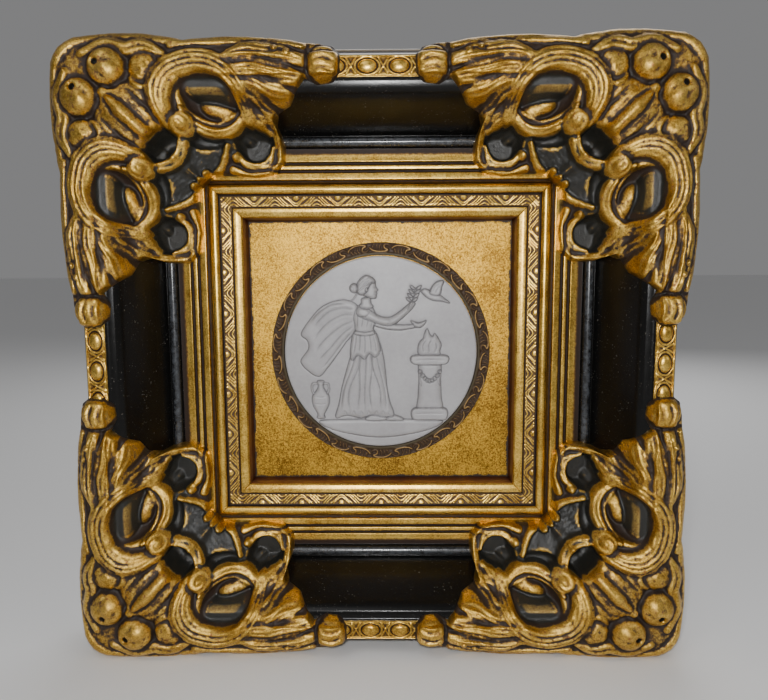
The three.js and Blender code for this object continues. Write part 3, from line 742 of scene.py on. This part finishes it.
# Edges of one arm from the diagonal to the tip: (share, outer u, outer v, inner u, inner v).
ARM = np.array([(0, -1, -1, 64, 64), (0.05, 6, -6.4, 69, 59.8), (0.17, 24, -9.2, 80, 60),
                (0.27, 38, -9.4, 92, 61.3), (0.36, 52, -7.2, 102, 60), (0.43, 61, -5.2, 108, 53),
                (0.5, 72, -6.2, 108, 43), (0.57, 84, -7.4, 104.5, 34), (0.64, 95, -7, 107, 29),
                (0.74, 106, -6, 114, 26), (0.83, 116, -5, 119.5, 19), (0.87, 122, -3.6, 123, 14.8),
                (0.92, 129, -3.2, 129, 18), (0.97, 137, -1.6, 137, 17), (1, 141, 3.5, 141, 12.5)])
ARM_LENGTH = 141.0
OVERHANG_HEIGHT = 34        # lowest height of the castings' front where it reaches past the rails
SKIRT_HEIGHT = 33.0         # height of their outer lower edge
HIDDEN_HEIGHT = 15.6        # height of their hidden underside, inside the rails


def rail_height(across):
    """Height of the rail's front at a distance from the centre."""
    order = np.argsort(RAIL_FRONT[:, 0], kind="stable")
    steps = np.arange(len(order)) * 1e-6
    return np.interp(across, RAIL_FRONT[order, 0] + steps, RAIL_FRONT[order, 1], right=0)


def body_height(u, v):
    """Height of a casting's body before its scrolls and leaves are laid on."""
    along = np.abs(u - v)
    inward = -5 * np.log(np.exp(-u / 5) + np.exp(-v / 5))
    crest = 57 - 0.04 * along
    fall = (crest - 20) * step(np.maximum(4, 28 - 0.4 * along), 76 - 0.3 * along, inward)
    edge_drop = 10 * np.maximum(0, (4 - inward) / 13.4) ** 2
    return np.maximum(crest - fall - edge_drop, rail_height(RIM_LINE - np.minimum(u, v)) + 3)


class Carving:
    """Rise over the body and dark colour of one arm (black ground and painted shade), on an even net of
    places.
    """
    CELL = 0.4
    LOW = (-4.0, -12.0)
    HIGH = (144.0, 72.0)

    def __init__(self):
        u = np.arange(self.LOW[0], self.HIGH[0], self.CELL)
        v = np.arange(self.LOW[1], self.HIGH[1], self.CELL)
        self.shape = (len(u), len(v))
        u, v = (a.ravel() for a in np.meshgrid(u, v, indexing="ij"))
        self.u, self.v = np.maximum(u, v), np.minimum(u, v)
        self.rise = np.zeros(len(u))
        self.soot = np.zeros(len(u))

    def near(self, line, margin):
        return ids_near(self.u, self.v, line.min(axis=0), line.max(axis=0), margin)

    def band(self, points, half, rise, reeds=0, ends=(0.3, 0.3), groove=1.0):
        """A raised band along a smooth line, plain or reeded, with a crease round it."""
        line = smooth_line(points)
        ids = self.near(line, half + 2)
        d, share, side = nearest_on_line(line, self.u[ids], self.v[ids])
        width = half * np.interp(share, [0, 0.25, 0.75, 1], [ends[0], 1, 1, ends[1]])
        q = d / width
        shape = np.sqrt(np.clip(1 - q * q, 0, 1)) * (0.55 + 0.45 * width / half)
        if reeds:
            wave = 0.5 + 0.5 * np.cos(np.pi * reeds * (side * q + 1) + 1.2 * np.sin(share * 9))
            shape *= 1 - 0.36 * wave ** 2 * (q < 1)
        crease = groove * np.exp(-((d - width) / 0.55) ** 2)
        self.rise[ids] = np.where(q < 1, np.maximum(self.rise[ids], rise * shape), self.rise[ids] - crease)

    def dome(self, u, v, long, wide, rise, turn=0.0, groove=1.0):
        """A rounded boss with a crease round it."""
        ids, q, far = self.oval(u, v, long, wide, turn)
        crease = groove * np.exp(-(far / 0.6) ** 2)
        shape = rise * np.sqrt(np.clip(1 - q * q, 0, 1))
        self.rise[ids] = np.where(q < 1, np.maximum(self.rise[ids] * 0.4, shape), self.rise[ids] - crease)

    def dish(self, u, v, long, wide, depth, turn=0.0, soot=0.0, power=1.0):
        """An oval hollow, which may be coloured dark with black ground and painted shade."""
        ids, q, _ = self.oval(u, v, long, wide, turn)
        bowl = depth * np.clip(1 - q * q, 0, 1) ** power
        self.rise[ids] = np.where(q < 1, self.rise[ids] * np.clip(q, 0, 1) ** 2 - bowl, self.rise[ids])
        self.soot[ids] = np.maximum(self.soot[ids], soot * step(1.0, 0.75, q))

    def mound(self, u, v, long, wide, rise, turn=0.0):
        """A soft oval swelling of what is already there."""
        ids, q, _ = self.oval(u, v, long, wide, turn)
        self.rise[ids] += rise * np.clip(1 - q * q, 0, 1) ** 0.75

    def shade(self, u, v, long, wide, amount, turn=0.0):
        """Painted shade in an oval, a dark colour without a change of shape."""
        ids, q, _ = self.oval(u, v, long, wide, turn)
        self.soot[ids] = np.maximum(self.soot[ids], amount * step(1.0, 0.7, q))

    def oval(self, u, v, long, wide, turn):
        """Places near an oval, their distance from its middle as a share, and past its edge in mm."""
        ids = ids_near(self.u, self.v, (u, v), (u, v), max(long, wide) + 2)
        du, dv = self.u[ids] - u, self.v[ids] - v
        x = du * math.cos(turn) + dv * math.sin(turn)
        y = dv * math.cos(turn) - du * math.sin(turn)
        q = np.hypot(x / long, y / wide)
        return ids, q, (q - 1) * min(long, wide)

    def groove(self, points, half, depth):
        """A cut line."""
        line = smooth_line(points)
        ids = self.near(line, 3 * half)
        d, share, _ = nearest_on_line(line, self.u[ids], self.v[ids])
        self.rise[ids] -= depth * np.exp(-(d / half) ** 2) * step(0, 0.08, share) * step(1, 0.9, share)

    def spiral(self, u, v, start, end, turns, phase, half, depth):
        """A cut line that winds from one radius to another."""
        angle = np.linspace(0, turns * 2 * math.pi, 20)
        radius = np.linspace(start, end, 20)
        points = np.stack([u + radius * np.cos(angle + phase), v + radius * np.sin(angle + phase)], axis=1)
        self.groove(points, half, depth)

    def tone(self, points, amount):
        """Dark colour inside a smooth outline: black ground and painted shade."""
        line = smooth_line(points, 6, closed=True)
        ids = self.near(line, 3)
        inside = inside_outline(line, self.u[ids], self.v[ids])
        d, _, _ = nearest_on_line(np.vstack([line, line[:1]]), self.u[ids], self.v[ids])
        signed = np.where(inside, d, -d)
        self.soot[ids] = np.maximum(self.soot[ids], amount * step(-1.0, 1.8, signed))

    def net(self, values):
        """Values of all places, in columns and rows."""
        return values.reshape(self.shape)

    def sample(self, field, u, v):
        """Values of a net at places on either arm."""
        a = (np.maximum(u, v) - self.LOW[0]) / self.CELL
        b = (np.minimum(u, v) - self.LOW[1]) / self.CELL
        a = np.clip(a, 0, self.shape[0] - 1.001)
        b = np.clip(b, 0, self.shape[1] - 1.001)
        i, j = a.astype(int), b.astype(int)
        p, q = a - i, b - j
        return ((field[i, j] * (1 - p) + field[i + 1, j] * p) * (1 - q)
                + (field[i, j + 1] * (1 - p) + field[i + 1, j + 1] * p) * q)


def carve_casting(c):
    """The scrolls, shells, leaves and hollows of one arm."""
    # dark inner field with wavy lines, and the side lobe
    c.tone([(44, 51), (54, 47), (60, 41), (72, 39), (84, 41), (92, 36), (103, 38), (104, 48), (98, 56),
            (84, 52), (77, 50), (72, 58), (64, 63), (60, 62)], 0.8)
    for k in range(7):
        near, far = 47.5 - 1.5 * k, 60.4 - 1.2 * k
        c.groove([(77.5 - 1.2 * k, near), (76.2 - 1.7 * k, near + 3.4), (70.6 - 1.4 * k, near + 6.2),
                  (68.4 - 2.0 * k, far - 2.4), (61.5 - 1.0 * k, far)], 0.5, 0.95)
    c.dish(68, 42.8, 11, 5.4, 5.5, 0.05, 1.0)
    c.dish(93, 44.5, 10.6, 9.4, 9.5, 0.1, 1.0, 0.7)
    c.mound(90, 43, 4.6, 3.0, 2.6, 0.6)
    c.band([(79, 45), (77, 51.5), (73.4, 57.6), (68, 61.4), (62.5, 63)], 2.2, 3.2, 0, (0.7, 1))
    c.dome(66.5, 60, 2.9, 2.9, 3.6)
    c.band([(83, 37), (90, 33.5), (98, 31.6), (104, 34), (106, 42), (106.4, 50), (103.5, 56.2), (96, 59.6),
            (88, 60), (80, 57.4)], 3.4, 3.8, 3, (0.7, 0.7))
    c.band([(83.6, 49), (87, 54.2), (93, 55.4), (99.6, 52.8), (102.2, 45.6)], 2.6, 3.8, 2, (0.5, 0.5))
    c.dome(82.6, 51.2, 2.7, 2.7, 3.4)
    c.dome(101.5, 38.5, 2.2, 2.2, 2.2)
    # outer rolls of the edge
    c.band([(1, 1), (9, -4.8), (24, -6.6), (40, -6.8), (52, -4.6), (64, -1.6)], 3.8, 2.4, 0, (1, 0.5), 0.8)
    c.band([(56, -1.2), (72, -3.6), (85, -4.8), (97, -4.2), (110, -3), (122, -0.8)], 3.4, 2.6, 2,
           (0.6, 0.6), 0.8)
    # band behind the bosses, hatch strip and ring of the diagonal
    c.band([(12, 3.4), (24, -1.0), (34, 0.4), (42, -0.4), (53, 4.0)], 4.8, 4.0, 2, (0.4, 0.4), 0.7)
    c.band([(48, 5), (52.4, 9), (51.6, 15), (47, 18.8)], 2.4, 4.4, 2, (0.4, 0.4))
    c.band([(29, 20.5), (36, 21.4), (44, 25.2), (51, 31)], 5.0, 2.6, 6, (0.6, 0.6), 0.5)
    c.band([(36, 15.2), (41, 19.6), (48, 18.4)], 2.2, 3.4, 0, (0.5, 0.5))
    # bosses of the rim
    c.dome(24.6, 9.8, 9.8, 9.8, 6.6, 0, 1.6)
    c.mound(27.6, 12.6, 5.4, 4.4, 1.6, 0.5)
    c.dish(20.0, 8.0, 1.9, 1.5, 2.6, 0.3, 1.0)
    c.groove([(20.4, 8.6), (20.6, 12.2), (24.2, 15.4)], 0.5, 0.8)
    c.groove([(24.6, 2.2), (29.4, 5.4), (31.4, 10.6)], 0.4, 0.6)
    c.dome(42.8, 10.4, 7.9, 7.7, 4.4, 0, 1.3)
    c.spiral(42.8, 10.4, 6.8, 1.6, 2.7, 0.6, 0.5, 0.9)
    # bud on the diagonal
    c.band([(22.6, 22.6), (30, 30), (38, 38), (45, 45)], 9.8, 3.8, 0, (0.35, 0.75), 1.8)
    c.groove([(25.6, 21.6), (32, 24), (39.4, 30.6), (46, 37.6)], 0.5, 1.1)
    c.groove([(24.4, 22.6), (30.8, 25.8), (37.8, 32.6), (43.6, 39)], 0.6, 1.5)
    c.band([(25.6, 25.6), (31, 31), (37, 37), (44, 44)], 4.2, 6.4, 0, (0.5, 0.9), 1.2)
    c.groove([(28, 27), (33, 31.6), (38.4, 37)], 0.4, 0.5)
    # cup below the bud and its lip
    c.dish(46.8, 46.8, 6.0, 12.0, 10.5, math.pi / 4, 1.0, 0.6)
    c.band([(35, 56.6), (42, 58.3), (49.6, 56.2), (53.6, 53.6), (56.2, 49.6), (58.3, 42), (56.6, 35)], 3.4,
           5.4, 2, (0.5, 0.5), 1.4)
    # great shell: lower lip, eye and reeded arch
    c.band([(59, 29), (62.4, 35.4), (69.6, 39.2), (78, 39.8), (85, 36.8), (89.4, 30.6)], 3.2, 4.6, 2,
           (0.5, 0.7), 1.2)
    c.band([(57.4, 40.4), (52.6, 34.4), (50, 27), (50.4, 19), (55, 11.6), (63, 8), (72, 7.4), (80.4, 10.6),
            (87, 17), (91, 25), (92.6, 33.4)], 7.0, 6.4, 5, (0.5, 0.55), 1.6)
    c.dish(73, 23.4, 14, 10.6, 10, 0.22, 0.0, 0.5)
    # painted shade over the outer part of the shell's eye
    c.shade(73, 20.8, 12.6, 7.2, 0.9, 0.2)
    c.mound(76, 28, 9.6, 5.4, 7.4, 0.24)
    c.mound(66.4, 20, 4.4, 3.4, 2.0, 0.8)
    c.dome(58.8, 36.8, 6.8, 6.8, 7.0, 0, 1.5)
    c.spiral(58.8, 36.8, 5.2, 1.2, 1.5, 3.6, 0.65, 1.4)
    # fan of leaves
    c.band([(82, 6.2), (95, 2.6), (109, 4), (123, 8)], 5.8, 5.2, 4, (0.5, 0.5), 0.7)
    c.band([(86, 11.4), (98, 11), (110, 13.6), (122.4, 16.6)], 5.4, 5.2, 4, (0.5, 0.5), 0.8)
    c.band([(89, 16), (99, 18.4), (108, 22.6), (118, 24.6)], 5.0, 4.8, 4, (0.5, 0.4), 0.9)
    c.band([(91.4, 21.6), (98, 26.6), (103, 31), (108, 34)], 4.6, 4.2, 3, (0.5, 0.4), 1.0)
    c.band([(91.4, 26), (96, 33), (100, 38)], 3.8, 3.6, 3, (0.5, 0.4), 1.0)
    c.dome(108.3, 1.2, 2.0, 2.0, 6.4, 0, 0.6)
    c.dome(114.4, 2.8, 2.0, 2.0, 6.2, 0, 0.6)
    # knob at the tip
    c.dome(132.4, 8.6, 8.4, 9.8, 5.6, 0, 2.6)
    for v in (2.6, 7.4, 12.2):
        c.groove([(126, v + 0.8), (132.2, v - 0.6), (138.4, v + 0.8)], 0.75, 1.3)
    c.groove([(124.2, -2.8), (124.8, 6), (124.4, 15)], 1.0, 1.6)


def casting_shape(columns, rows):
    """Places of a casting at the top left corner, its toning and its black ground and painted shade, as a
    net from one tip to the other.
    """
    c = Carving()
    carve_casting(c)
    u_net, v_net = c.net(c.u), c.net(c.v)
    lumps = (0.5 * value_noise(c.u, c.v, 8.0, 3) + 0.3 * value_noise(c.u, c.v, 3.1, 4)
             + 0.14 * value_noise(c.u, c.v, 1.3, 5))
    surface = body_height(u_net, v_net) + softened(c.net(c.rise), 1) + c.net(lumps)
    floor = rail_height(RIM_LINE - v_net) + 1.2
    surface = np.maximum(surface, np.maximum(floor, 21.5))
    hollow = softened(surface, 5) - surface
    soot = softened(c.net(c.soot), 2)

    share = np.linspace(-1, 1, 2 * columns + 1)
    edges = np.array([[np.interp(abs(s), ARM[:, 0], ARM[:, k]) for k in range(1, 5)] for s in share])
    edges[share < 0] = edges[share < 0][:, [1, 0, 3, 2]]
    outer, inner = edges[:, None, :2], edges[:, None, 2:]
    length = np.linalg.norm(inner - outer, axis=2)
    t = np.concatenate([[0, 0.006, 0.014, 0.024], np.linspace(0.036, 0.97, rows - 10),
                        [0.976, 0.982, 0.988, 0.993, 0.997, 1]])[None, :]
    place = outer + (inner - outer) * t[:, :, None]
    u, v = place[..., 0], place[..., 1]
    height = c.sample(surface, u, v)
    to_end = (1 - np.abs(share))[:, None] * ARM_LENGTH
    rail = rail_height(RIM_LINE - np.minimum(u, v))
    base = rail + 0.3
    inner_gap = np.clip(np.minimum((1 - t) * length, to_end) / 2.4, 0, 1)
    height = base + (height - base) * np.sqrt(1 - (1 - inner_gap) ** 2)
    outer_gap = np.clip(t * length / 3.2, 0, 1)
    height -= 3.6 * (1 - np.sqrt(1 - (1 - outer_gap) ** 2))
    height = np.maximum(height, np.where(RIM_LINE - np.minimum(u, v) > RAIL_OUTER, OVERHANG_HEIGHT, base))
    tones = [c.sample(hollow, u, v), c.sample(soot, u, v)]

    def row(at, level):
        """One row across the underside: u, v and height."""
        spot = outer[:, 0] + (inner - outer)[:, 0] * at
        return np.column_stack([spot, np.full(len(share), level)])[:, None]

    u, v, height = np.concatenate(
        [row(0, SKIRT_HEIGHT), np.stack([u, v, height], axis=2), row(1, HIDDEN_HEIGHT),
         row(0.5, HIDDEN_HEIGHT), row(0.13, HIDDEN_HEIGHT)], axis=1).transpose(2, 0, 1)
    hollow, soot = (np.pad(tone, ((0, 0), (1, 3)), mode="edge") for tone in tones)
    return np.stack([u - RIM_LINE, -height, RIM_LINE - v], axis=2), hollow, soot


def casting_mesh(name, shape, turns):
    """One casting, closed at both tips and turned to its corner."""
    places, hollow, soot = shape
    columns, rows = hollow.shape
    placed = quarter_turns(places.reshape(-1, 3), turns)
    last = (columns - 1) * rows
    ends = [np.arange(rows)[::-1], last + np.arange(rows)]
    faces = grid_faces(columns, rows, loop_rows=True)
    return mesh_from(name, placed, faces, ends, {"hollow": hollow, "soot": soot})


# ---- materials --------------------------------------------------------------------------------------

def colours():
    """The scene's colours by name."""
    return {key: tuple(getattr(bpy.context.scene.relief_colours,
                               key)) for key in ReliefColours.__annotations__}


def gilding(f, c, hollow, wear=1.0):
    """Colour, metal and roughness of old speckled gilding, toned dark where it lies hollow."""
    grain = f.noise(0.9, 3, 0.75)
    cloud = f.noise(13, 3, 0.6)
    speck = f.noise(2.0, 4, 0.7)
    light = (grain * 1.1 + cloud * 0.7 - 0.56).ramp(0.05, 0.62)
    gold = f.blend(light, c["deep_gold"], c["bright_gold"])
    rubbed = (speck + cloud * 0.35).ramp(0.80 - 0.08 * wear, 0.95 - 0.07 * wear)
    gold = f.blend(rubbed * (0.75 * wear), gold, c["bole"])
    depth = hollow * 1.15 + (speck - 0.5) * (1.8 * wear) + (cloud - 0.5) * (1.2 * wear) + 0.1 * wear
    toned = depth.ramp(-0.35 * wear, 0.42)
    dark = depth.ramp(-0.05, 0.62)
    colour = f.blend(dark, f.blend(toned * 0.85, gold, c["russet"]), c["umber"])
    metal = (1 - dark * 0.85) * (1 - rubbed * 0.5) * (1 - toned * 0.35)
    rough = dark * 0.15 + toned * 0.08 + rubbed * 0.15 + grain * 0.26 + 0.2
    return colour, metal, rough, grain, speck


def bare_back(f, c, back, colour, metal, rough):
    """A finish that gives way to bare wood where back is 1."""
    wood_grain = f.noise(1.3, 3, 0.6, (1, 1, 0.08))
    wood = f.blend(wood_grain, (0.16, 0.09, 0.045, 1), c["bare_wood"])
    return f.blend(back, colour, wood), metal * (1 - back), rough * (1 - back) + back * 0.75


def casting_material():
    c = colours()
    f = Finish("cast_gilding")
    hollow, soot = f.layer("hollow"), f.layer("soot")
    colour, metal, rough, grain, speck = gilding(f, c, hollow, 1.1)
    dust = f.noise(2.6, 4, 0.7)
    # Grey-black in the hollows: black ground and painted shade. It is held back on raised places, which
    # gives a painted highlight there.
    black_and_shade_share = (soot + (dust - 0.5) * 0.9 + hollow * 0.25).ramp(0.35, 0.72)
    highlight = (hollow * -1.0).ramp(0.25, 0.8)
    black_and_shade_share = black_and_shade_share * (1 - highlight * 0.8)
    colour = f.blend(black_and_shade_share, colour, c["soot"])
    metal = metal * (1 - black_and_shade_share)
    rough = rough * (1 - black_and_shade_share) + black_and_shade_share * 0.34
    bump = f.bump(grain * 0.5 + speck * 0.5, 0.5, 0.9)
    return f.surface(Base_Color=colour, Metallic=metal, Roughness=rough, Normal=bump,
                     Specular_IOR_Level=0.5)


def rail_material():
    c = colours()
    f = Finish("rail_gilt_and_black")
    hollow = f.layer("hollow")
    across, behind = f.places()
    ragged = across + (f.noise(3, 3, 0.6) - 0.5) * 0.5
    colour, metal, rough, grain, speck = gilding(f, c, hollow, 0.3)
    black = ragged.ramp(114.7, 115.1) * ragged.ramp(145.9, 145.4)
    outside = across.ramp(155.3, 156.4)
    dust = (f.noise(0.9, 2, 0.5) + f.noise(9, 3, 0.6) * 0.22).ramp(0.80, 0.87)
    ebony = f.blend(dust * 0.5, c["ebony"], (0.22, 0.20, 0.17, 1))
    torus = across.ramp(115.6, 117.4) * across.ramp(121.4, 119.4)
    # Painted highlight: a greyish colour, mottled like wear, over the black torus stands in for its broad
    # highlight.
    ebony = f.blend(torus * f.noise(3, 4, 0.7).ramp(0.3, 0.7), ebony, (0.055, 0.06, 0.068, 1))
    colour = f.blend(outside * 0.8, colour, c["umber"])
    colour = f.blend(black, colour, ebony)
    metal = metal * (1 - black) * (1 - outside * 0.7)
    rough = rough * (1 - black) + black * (f.noise(6, 3, 0.6) * 0.12 + dust * 0.3 + 0.16)
    colour, metal, rough = bare_back(f, c, behind.ramp(-13, -11), colour, metal, rough)
    bump = f.bump(grain * 0.4 + speck * 0.6, 0.12, 0.4)
    return f.surface(Base_Color=colour, Metallic=metal, Roughness=rough, Normal=bump,
                     Specular_IOR_Level=0.25, Coat_Weight=torus * black, Coat_Roughness=0.22)


def liner_material():
    c = colours()
    f = Finish("liner_gilding")
    hollow, gilt = f.layer("hollow"), f.layer("gilt")
    across, behind = f.places()
    colour, metal, rough, grain, speck = gilding(f, c, hollow, 0.35)
    band = across.ramp(83.0, 83.4) * across.ramp(89.1, 88.7)
    bare = band * (1 - gilt.ramp(0.2, 0.6))
    ground = f.blend(speck, c["umber"], (0.10, 0.045, 0.018, 1))
    colour = f.blend(bare * 0.92, colour, ground)
    # Painted shadow: dark red-brown over the liner's foot, where it steps down to the panel.
    foot_shadow = across.ramp(77.6, 77.0)
    colour = f.blend(foot_shadow * 0.92, colour, f.blend(speck, c["umber"], c["bole"]))
    metal = metal * (1 - bare * 0.6) * (1 - foot_shadow * 0.8)
    bump = f.bump(grain * 0.4 + speck * 0.6, 0.1, 0.35)
    colour, metal, rough = bare_back(f, c, behind.ramp(-9.8, -9.2), colour, metal, rough + bare * 0.15)
    return f.surface(Base_Color=colour, Metallic=metal, Roughness=rough, Normal=bump)


def panel_material():
    c = colours()
    f = Finish("panel_gilding")
    across, behind = f.places()
    grain = f.noise(0.8, 3, 0.75)
    cloud = f.noise(26, 3, 0.55)
    gold = f.blend((grain * 1.5 + cloud * 0.5).ramp(0.78, 1.22), (0.17, 0.08, 0.01, 1), c["panel_gold"])
    edge = 75.4 - across
    fringe = (f.noise(2.2, 4, 0.7) * 3.2 + f.noise(9, 2, 0.5) * 2.6 - edge).ramp(1.6, 2.6)
    scratch = f.noise(4.5, 4, 0.65, (0.35, 1, 1.6)).ramp(0.735, 0.76)
    black = fringe.most(scratch * 0.9)
    worn = black.most(f.noise(1.5, 2, 0.6).ramp(0.77, 0.8) * 0.7)
    colour = f.blend(worn, gold, c["umber"])
    metal = 0.92 - worn * 0.85
    rough = grain * 0.26 + black * 0.25 + 0.2
    back = behind.ramp(0.8 - PANEL_FRONT, 1.4 - PANEL_FRONT)
    colour, metal, rough = bare_back(f, c, back, colour, metal, rough)
    bump = f.bump(grain, 0.3, 0.8)
    return f.surface(Base_Color=colour, Metallic=metal, Roughness=rough, Normal=bump)


def ring_material():
    c = colours()
    f = Finish("ring_toned_gilding")
    hollow, gilt, band = f.layer("hollow"), f.layer("gilt"), f.layer("band")
    speck = f.noise(1.2, 3, 0.65)
    ground = f.blend(speck, c["umber"], (0.07, 0.04, 0.02, 1))
    raised = (hollow * -1.0 + 1.0 + (speck - 0.5) * 0.6).ramp(0.55, 1.5)
    toned = f.blend(raised, ground, (0.085, 0.045, 0.016, 1))
    # Painted highlight: the gilt layer gives the scroll crests a gilt colour and more metal.
    colour = f.blend((gilt + (speck - 0.5) * 0.6).ramp(0.35, 0.95), toned, (0.34, 0.21, 0.075, 1))
    colour = f.blend(band, colour, (0.05, 0.036, 0.016, 1))
    metal = (gilt + band * 0.3).ramp(0.1, 0.9) * 0.5 + 0.1
    bump = f.bump(speck, 0.1, 0.4)
    return f.surface(Base_Color=colour, Metallic=metal, Roughness=speck * 0.2 + 0.4, Normal=bump,
                     Specular_IOR_Level=0.3)


def marble_material():
    c = colours()
    f = Finish("honed_marble")
    line, hollow = f.layer("line"), f.layer("hollow")
    cloud = f.noise(22, 4, 0.6)
    fine = f.noise(2.2, 4, 0.7)
    stone = f.blend((cloud * 0.8 + fine * 0.4).ramp(0.35, 0.9), c["marble"], (0.29, 0.28, 0.285, 1))
    # Grey darkening along the carved outlines and creases and in the low places of the disc.
    darkening = (line * 0.8 + hollow * 0.6 + (fine - 0.5) * 0.3).ramp(0.1, 0.85)
    colour = f.blend(darkening * 0.66, stone, c["marble_line"])
    bump = f.bump(fine, 0.04, 0.3)
    return f.surface(Base_Color=colour, Roughness=fine * 0.12 + 0.36, Normal=bump,
                     Subsurface_Weight=0.06, Subsurface_Radius=(0.004, 0.0036, 0.0034))


# ---- pieces -----------------------------------------------------------------------------------------

class PieceOperator:
    """What the operators that build the pieces share."""
    bl_options = {"REGISTER", "UNDO"}

    def execute(self, context):
        self.build(context.scene.relief_sizes)
        return {"FINISHED"}


class RELIEF_OT_rails(PieceOperator, bpy.types.Operator):
    """Builds the four black and gilt rails with the egg course on their rim."""
    bl_idname = "relief.rails"
    bl_label = "Rails"

    def build(self, sizes):
        material = rail_material()
        columns = columns_along(0.235, 0.0031, 12)
        for turns, side in enumerate(SIDES):
            carve = egg_course(sizes.egg_pitch, EGG_SHIFTS[side])
            mesh = moulding(f"rail_{side}_look", RAIL_FRONT, RAIL_BACK, columns, turns, carve)
            show_piece(f"rail_{side}", mesh, material)


class RELIEF_OT_liners(PieceOperator, bpy.types.Operator):
    """Builds the four gilt liner bars with their bead and zigzag band."""
    bl_idname = "relief.liners"
    bl_label = "Liners"

    def build(self, sizes):
        material = liner_material()
        columns = columns_along(1, 0.0047, 2)
        for turns, side in enumerate(SIDES):
            mesh = moulding(f"liner_{side}_look", LINER_FRONT, LINER_BACK, columns, turns,
                            zigzag_band(sizes.band_period))
            show_piece(f"liner_{side}", mesh, material)


class RELIEF_OT_castings(PieceOperator, bpy.types.Operator):
    """Builds the four cast corners with their scrolls, shells, leaves and hollows."""
    bl_idname = "relief.castings"
    bl_label = "Corner castings"

    def build(self, sizes):
        material = casting_material()
        shape = casting_shape(sizes.casting_columns, sizes.casting_rows)
        for turns, corner in enumerate(CORNERS):
            mesh = casting_mesh(f"corner_{corner}_look", shape, turns)
            show_piece(f"corner_{corner}", mesh, material)


class RELIEF_OT_panel(PieceOperator, bpy.types.Operator):
    """Finishes the flat gilt panel and builds the ring and the relief disc on it."""
    bl_idname = "relief.panel"
    bl_label = "Panel, ring and disc"

    def build(self, sizes):
        panel = bpy.data.objects["panel"]
        panel.data.materials.clear()
        panel.data.materials.append(panel_material())
        show_piece("medallion_ring", ring_mesh(sizes.ring_scrolls), ring_material())
        show_piece("medallion", disc_mesh(sizes.disc_cells), marble_material())


# ---- stage ------------------------------------------------------------------------------------------

# Area lights: place, the spot aimed at, size in m and power in W.
LIGHTS = (
    ((-0.002, -0.4366, 0.0785), (0, 0, 0.04), 0.03, 1.35),
    ((-0.35, -0.75, 0.85), (0, 0, 0), 0.6, 2.2),
    ((0.7, -0.6, 0.45), (0, 0, 0), 0.6, 1.0),
    ((0.2, 0.9, 0.6), (0, 0, 0), 0.8, 5))
CAMERA_PLACE = (0.0070, -0.4366, 0.0566)
CAMERA_TURNS = (7.43, -0.68, 0.29)      # degrees downwards, sideways and about its own axis


class RELIEF_OT_stage(PieceOperator, bpy.types.Operator):
    """Sets the pale floor, the soft studio lights and the camera."""
    bl_idname = "relief.stage"
    bl_label = "Stage"

    def build(self, _sizes):
        bpy.ops.mesh.primitive_plane_add(size=14, location=(0, 0, CAD_BOX[0][2] - 0.0005))
        floor = bpy.context.object
        floor.name = "stage_floor"
        pale = Finish("stage_pale").surface(Base_Color=(0.84, 0.84, 0.84, 1), Roughness=0.85)
        floor.data.materials.append(pale)
        world = bpy.data.worlds.new("stage_light")
        bpy.context.scene.world = world
        world.use_nodes = True
        sky = world.node_tree.nodes["Background"].inputs
        sky["Color"].default_value = (0.90, 0.90, 0.91, 1)
        sky["Strength"].default_value = 0.24
        for light in LIGHTS:
            self.area(*light)
        self.camera()

    def area(self, place, target, size, power):
        aim = (Vector(target) - Vector(place)).to_track_quat("-Z", "Y").to_euler()
        bpy.ops.object.light_add(type="AREA", location=place, rotation=aim)
        light = bpy.context.object
        light.visible_camera = False
        light.data.size = size
        light.data.energy = power

    def camera(self):
        pitch, yaw, roll = map(math.radians, CAMERA_TURNS)
        forward = Vector((math.sin(yaw) * math.cos(pitch), math.cos(yaw) * math.cos(pitch),
                          -math.sin(pitch)))
        level = Vector((math.cos(yaw), -math.sin(yaw), 0))
        down = forward.cross(level)
        down = down if down.z < 0 else -down
        right = level * math.cos(roll) + down * math.sin(roll)
        below = down * math.cos(roll) - level * math.sin(roll)
        turned = Matrix((right, -below, -forward)).transposed().to_4x4()
        bpy.ops.object.camera_add()
        camera = bpy.context.object
        camera.name = "camera"
        camera.matrix_world = Matrix.Translation(CAMERA_PLACE) @ turned
        camera.data.lens = 34.4
        camera.data.sensor_width = 36
        camera.data.clip_start = 0.01
        bpy.context.scene.camera = camera


class RELIEF_PT_panel(bpy.types.Panel):
    """Sizes, colours and the steps that build the relief."""
    bl_idname = "RELIEF_PT_panel"
    bl_label = "Framed relief"
    bl_space_type = "VIEW_3D"
    bl_region_type = "UI"
    bl_category = "Relief"

    def draw(self, context):
        for group in (context.scene.relief_sizes, context.scene.relief_colours):
            for key in type(group).__annotations__:
                self.layout.prop(group, key)
        for operator in OPERATORS:
            self.layout.operator(operator.bl_idname)


OPERATORS = (RELIEF_OT_rails, RELIEF_OT_liners, RELIEF_OT_castings, RELIEF_OT_panel, RELIEF_OT_stage)
CLASSES = (ReliefSizes, ReliefColours, *OPERATORS, RELIEF_PT_panel)


def register():
    for cls in CLASSES:
        bpy.utils.register_class(cls)
    bpy.types.Scene.relief_sizes = bpy.props.PointerProperty(type=ReliefSizes)
    bpy.types.Scene.relief_colours = bpy.props.PointerProperty(type=ReliefColours)


def unregister():
    del bpy.types.Scene.relief_colours
    del bpy.types.Scene.relief_sizes
    for cls in reversed(CLASSES):
        bpy.utils.unregister_class(cls)


def main():
    register()
    bpy.ops.object.select_all(action="DESELECT")
    bpy.ops.relief.rails()
    bpy.ops.relief.liners()
    bpy.ops.relief.castings()
    bpy.ops.relief.panel()
    bpy.ops.relief.stage()


if __name__ == "__main__":
    main()
